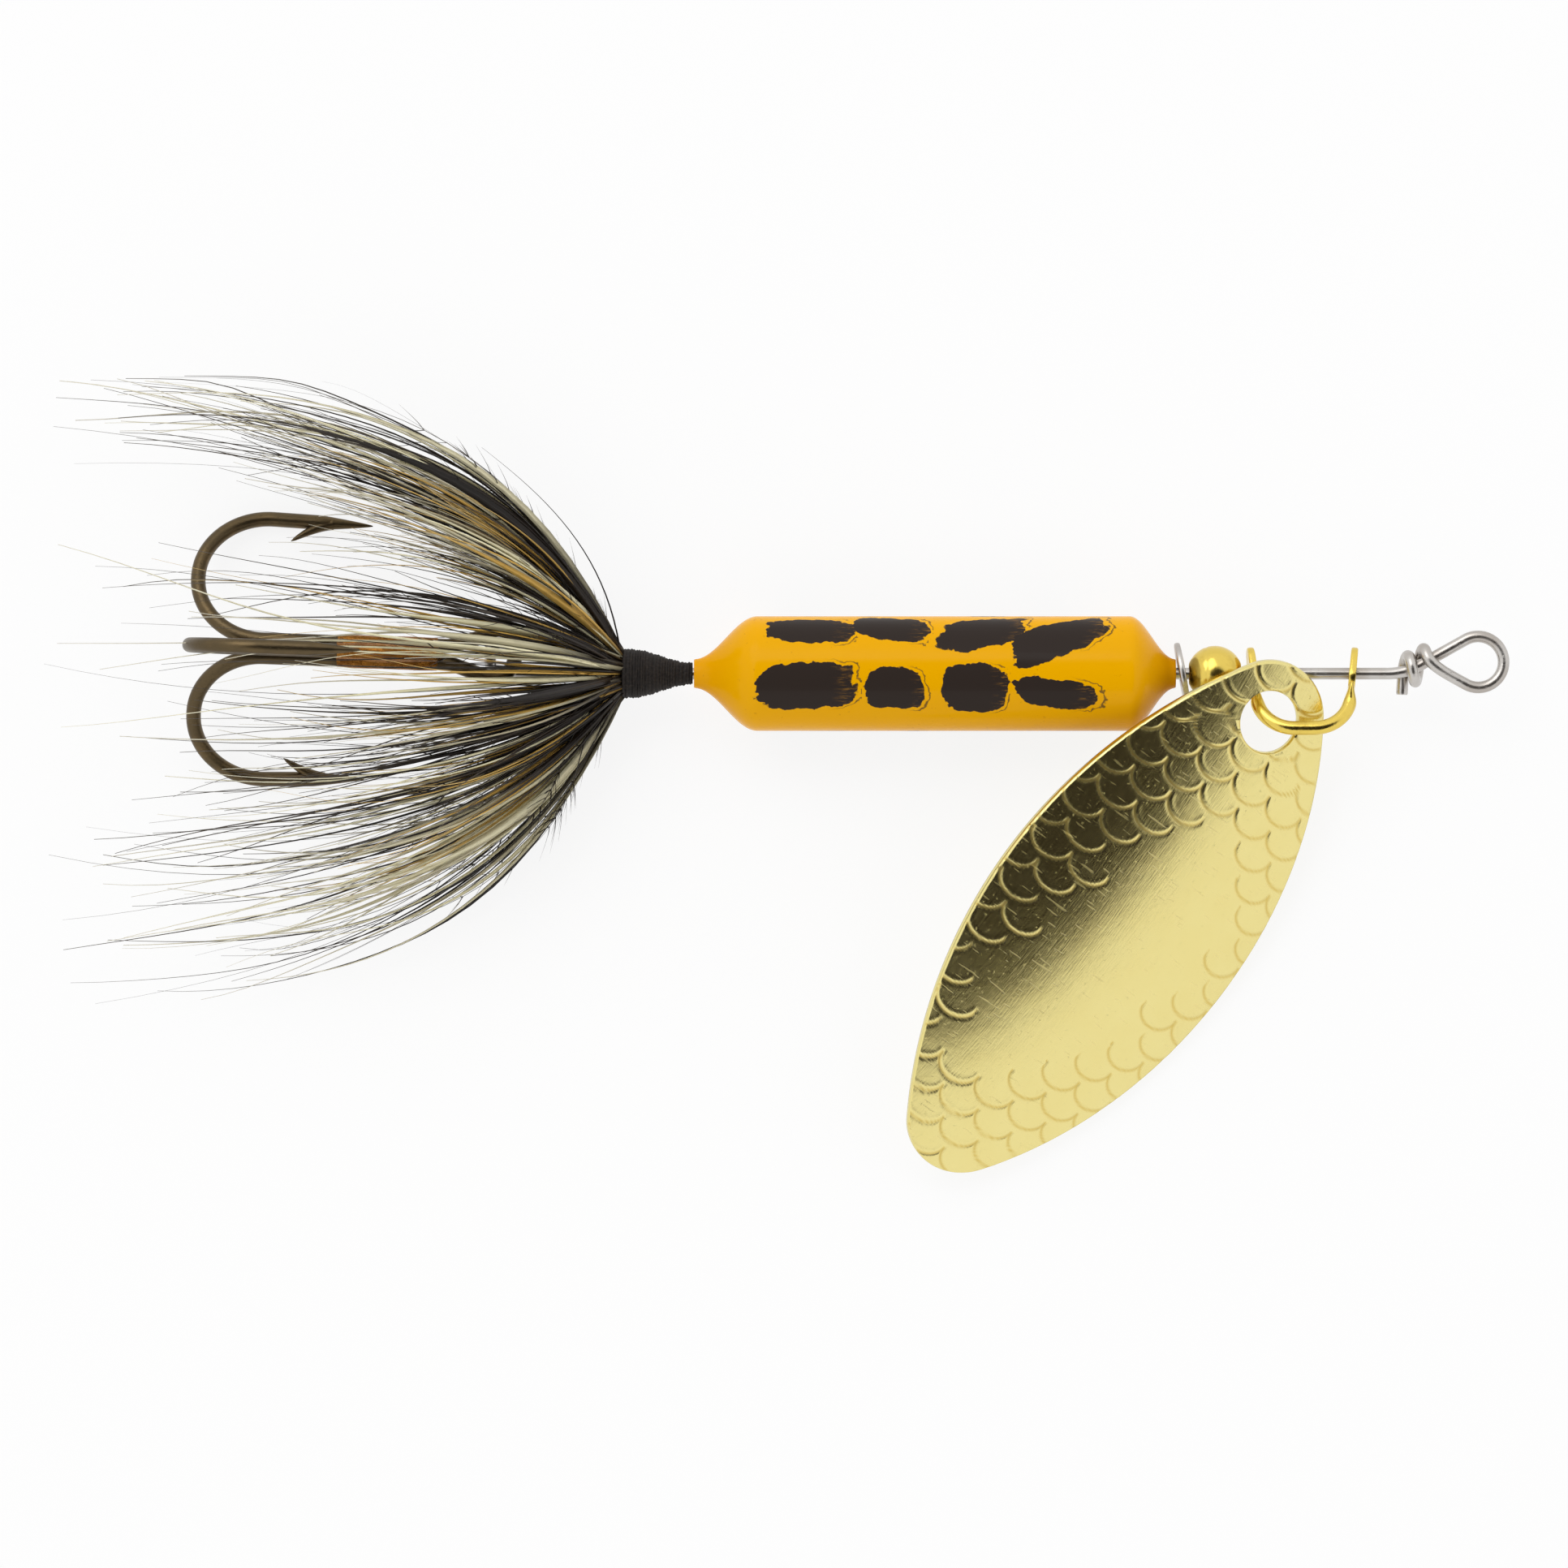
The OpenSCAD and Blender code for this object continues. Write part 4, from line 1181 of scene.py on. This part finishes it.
def fibre_skin(rng, paths, thick, widest, matted=0.3):
    """Three-sided tapering skins on the middle lines. The radius falls from root to tip as a
    power of the way left; a share of the fibres are matted strands, wide and flat before their
    middle. Both ends are closed."""
    n, k = paths.shape[:2]
    t = unit(np.gradient(paths, axis=1))
    up = unit(rng.normal(0, 1, (n, 1, 3)) + np.array((0, 0, 1.2)))
    side = unit(np.cross(t, up))
    over = np.cross(side, t)
    f = np.linspace(0, 1, k)[None, :]
    strand = (rng.uniform(0, 1, (n, 1)) < matted) * rng.uniform(0.8, widest, (n, 1))
    r = thick * rng.uniform(0.45, 1.15, (n, 1)) * (0.13 + 0.87 * (1 - f) ** 1.1)
    wide = r * (1 + strand * np.exp(-((f - 0.3) / 0.24) ** 2))
    a = np.array((0.5, 2.5944, 4.6888))
    rings = (paths[:, :, None] + (wide[..., None] * side)[:, :, None] * np.cos(a)[:, None]
             + (r[..., None] * over)[:, :, None] * np.sin(a)[:, None])
    return rings


def fluff(rng, paths, count, first=0.1, last=0.5):
    """Short barbules along a stretch of the fibres: each leaves its fibre at a small angle,
    bends back and thins to nothing."""
    n, k = paths.shape[:2]
    pick = rng.integers(0, n, count)
    at = rng.integers(int(k * first), int(k * last), count)
    start = paths[pick, at]
    ahead = unit(paths[pick, at + 1] - start)
    away = rng.normal(0, 1, (count, 3)) * np.array((1, 1, 0.4))
    away = unit(away - ahead * dot(away, ahead))
    size = rng.uniform(0.6, 1.7, (count, 1))
    f = np.linspace(0, 1, 5)
    out = start[:, None] + size[:, None] * (ahead[:, None] * (0.9 * f)[None, :, None]
                                            + away[:, None] * (0.42 * f ** 0.8)[None, :, None])
    return out


def hackle_piece(name, rings, tone, material):
    """One object of many three-sided fibres; faces point outwards and both ends are closed."""
    n, k, m = rings.shape[:3]
    side = quads(k, m, True)[:, ::-1]
    ends = np.array(((0, 1, 2), ((k - 1) * m + 2, (k - 1) * m + 1, (k - 1) * m)))
    first = (np.arange(n) * k * m)[:, None, None]
    faces = (side[None] + first).reshape(-1, 4).tolist()
    faces += (ends[None] + first).reshape(-1, 3).tolist()
    mesh = bpy.data.meshes.new(name)
    mesh.from_pydata((rings.reshape(-1, 3) * MM).tolist(), [], faces)
    along = np.broadcast_to(np.linspace(0, 1, k)[None, :, None], (n, k, m))
    for key, values in (("tone", np.broadcast_to(tone[:, None, None], (n, k, m))),
                        ("along", along)):
        mesh.attributes.new(key, "FLOAT", "POINT").data.foreach_set("value", values.ravel())
    mesh.polygons.foreach_set("use_smooth", np.ones(len(mesh.polygons), bool))
    mesh.materials.append(material)
    piece = bpy.data.objects.new(name, mesh)
    bpy.context.scene.collection.objects.link(piece)
    return piece


class SPINNER_OT_hackle(Operator):
    """Make the hackle of fibres tied in behind the body"""

    bl_idname = "spinner.hackle"
    bl_label = "Hackle"

    def execute(self, context):
        group = context.scene.spinner_hackle
        colours = context.scene.spinner_colours
        rng = np.random.default_rng(group.seed)
        at = stations()
        h = {"reach": group.reach / MM, "flare": group.flare / MM, "share": group.fullness,
             "x": at["thread_rear"], "root_r": span("thread_wrap")[1][2], "floor": -at["body_r"],
             "low_y": -14.5, "high_y": CAD_BOX[1][1] / MM - 0.15}
        thick = group.fibre / MM / 2
        tips = {"black": (0.16, 0.13, 0.1), "cream": (0.8, 0.76, 0.66),
                "gold": (0.7, 0.55, 0.28), "grey": (0.5, 0.5, 0.5)}
        gloss = {"black": 0.28, "cream": 0.4, "gold": 0.38, "grey": 0.5}
        for key, clumps in CLUMPS.items():
            thin = {"grey": 0.5, "cream": 1.25}.get(key, 1.0)
            paths = fibre_paths(rng, clumps, h, 22)
            rings = fibre_skin(rng, paths, thick * thin, 2.2, 0.45 if key == "cream" else 0.25)
            if key == "black":
                strays = stray_paths(h, 22)
                rings = np.concatenate([rings, fibre_skin(rng, strays, thick * 0.55, 1, 0)])
            tone = rng.uniform(0, 1, len(rings))
            material = fibre_finish("fibre_" + key, getattr(colours, key), tips[key], gloss[key])
            piece = hackle_piece("hackle_" + key, rings, tone, material)
            self.place(piece, at, ["hackle_tuft_%d" % i for i in REPLACED[key]])
            if key in ("black", "grey"):
                hairs = fluff(rng, paths, 900)
                if key == "black":
                    hairs = np.concatenate([hairs, fluff(rng, strays[1:3], 70, 0.6, 0.9)])
                rings = fibre_skin(rng, hairs, thick * 0.22, 1.3)
                piece = hackle_piece("barbules_" + key, rings, rng.uniform(0, 1, len(rings)),
                                     material)
                self.place(piece, at, [])
        return {"FINISHED"}

    @staticmethod
    def place(piece, at, nodes):
        """Hides the CAD tufts that the piece replaces and bakes its transform into the mesh."""
        if nodes:
            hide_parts(*nodes)
        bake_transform(piece)


# ---- Stage ----


class SPINNER_OT_stage(Operator):
    """Make the floor, the lights and the camera"""

    bl_idname = "spinner.stage"
    bl_label = "Stage"

    def execute(self, context):
        self.floor(context)
        self.tent(context)
        self.camera(context)
        return {"FINISHED"}

    @staticmethod
    def floor(context):
        """A level square under the body."""
        x, y = np.meshgrid(np.linspace(-600, 600, 13), np.linspace(-600, 600, 13), indexing="ij")
        grid = np.stack([x - 30, y, 0 * x - stations()["body_r"] - 0.01], axis=-1)
        f = Finish("pale_floor", Roughness=0.9, Specular_IOR_Level=0.1)
        grain = f.noise(f.place(0.02, 0.02, 0.02), 1.0, 2)
        base = context.scene.spinner_colours.floor
        f.set("Base Color", f.mix(grain * 0.1, base, darker(base, 0.97)))
        rays = [f.add("ShaderNodeLightPath", out="Is %s Ray" % kind)
                for kind in ("Camera", "Glossy", "Transmission")]
        seen = rays[0] + rays[1] + rays[2]
        glow = f.add("ShaderNodeEmission", None, {"Color": (1, 1, 1, 1), "Strength": 1.0})
        surface = f.add("ShaderNodeMixShader", None,
                        {0: seen * 0.85, 1: Value(f, f.shader.outputs[0]), 2: glow})
        out = f.tree.nodes["Material Output"]
        f.tree.links.new(surface.socket, out.inputs["Surface"])
        floor = build("studio_floor", [grid], f.material, around=False, mend=False)

    @staticmethod
    def tent(context):
        """Soft light from all round with a dim opening overhead, and one broad lamp."""
        world = bpy.data.worlds.new("light_tent")
        context.scene.world = world
        world.use_nodes = True
        f = Finish.__new__(Finish)
        f.tree = world.node_tree
        background = f.tree.nodes["Background"]
        at = f.add("ShaderNodeTexCoord", out="Generated")
        way = np.array((0.16, -0.1, 1.0))
        way = way / np.linalg.norm(way)
        near = f.add("ShaderNodeVectorMath", {"operation": "DOT_PRODUCT"},
                     {0: at, 1: tuple(way)}, "Value")
        dim = near.step(math.cos(math.radians(33)), math.cos(math.radians(28)))
        tone = f.mix(dim, (1.0, 1.0, 1.0), (0.012, 0.008, 0.006))
        f.tree.links.new(tone.socket, background.inputs["Color"])
        background.inputs["Strength"].default_value = 1.05
        lamp = bpy.data.lights.new("broad_lamp", "AREA")
        lamp.size = 0.5
        lamp.energy = 1.2
        holder = bpy.data.objects.new("broad_lamp", lamp)
        holder.location = (-0.25, 0.45, 0.5)
        aim = Vector((-0.03, 0, 0)) - Vector(holder.location)
        holder.rotation_euler = aim.to_track_quat("-Z", "Y").to_euler()
        context.scene.collection.objects.link(holder)

    @staticmethod
    def camera(context):
        """Straight above the spinner, with +X to the right; 67.6 mm fill the frame's width."""
        away = 0.5
        camera = bpy.data.cameras.new("camera")
        camera.sensor_width = 36
        camera.lens = 36 * away / 0.0676
        camera.clip_start = 0.01
        holder = bpy.data.objects.new("camera", camera)
        holder.location = (-0.02947, -0.00476, away)
        context.scene.collection.objects.link(holder)
        context.scene.camera = holder
        context.scene.view_settings.view_transform = "Standard"


class SPINNER_PT_panel(Panel):
    """Sizes, colours and steps of the spinner"""

    bl_idname = "SPINNER_PT_panel"
    bl_label = "Inline Spinner"
    bl_space_type = "VIEW_3D"
    bl_region_type = "UI"
    bl_category = "Spinner"

    def draw(self, context):
        for key in GROUPS:
            box = self.layout.box()
            group = getattr(context.scene, key)
            for name in group.__annotations__:
                box.prop(group, name)
        for step in STEPS:
            self.layout.operator(step.bl_idname)


GROUPS = {"spinner_sizes": SpinnerSizes, "spinner_blade": BladeSizes,
          "spinner_hackle": HackleSizes, "spinner_colours": SpinnerColours}
STEPS = (SPINNER_OT_stage, SPINNER_OT_shaft, SPINNER_OT_thread, SPINNER_OT_body,
         SPINNER_OT_bearings, SPINNER_OT_clevis, SPINNER_OT_blade, SPINNER_OT_hooks,
         SPINNER_OT_hackle)


def register():
    for group in GROUPS.values():
        bpy.utils.register_class(group)
    for step in (*STEPS, SPINNER_PT_panel):
        bpy.utils.register_class(step)
    for key, group in GROUPS.items():
        setattr(bpy.types.Scene, key, PointerProperty(type=group))


def unregister():
    for key in GROUPS:
        delattr(bpy.types.Scene, key)
    for step in (SPINNER_PT_panel, *STEPS[::-1]):
        bpy.utils.unregister_class(step)
    for group in GROUPS.values():
        bpy.utils.unregister_class(group)


def main():
    """Make every piece."""
    register()
    for step in STEPS:
        getattr(bpy.ops.spinner, step.bl_idname.split(".")[1])()


if __name__ == "__main__":
    main()
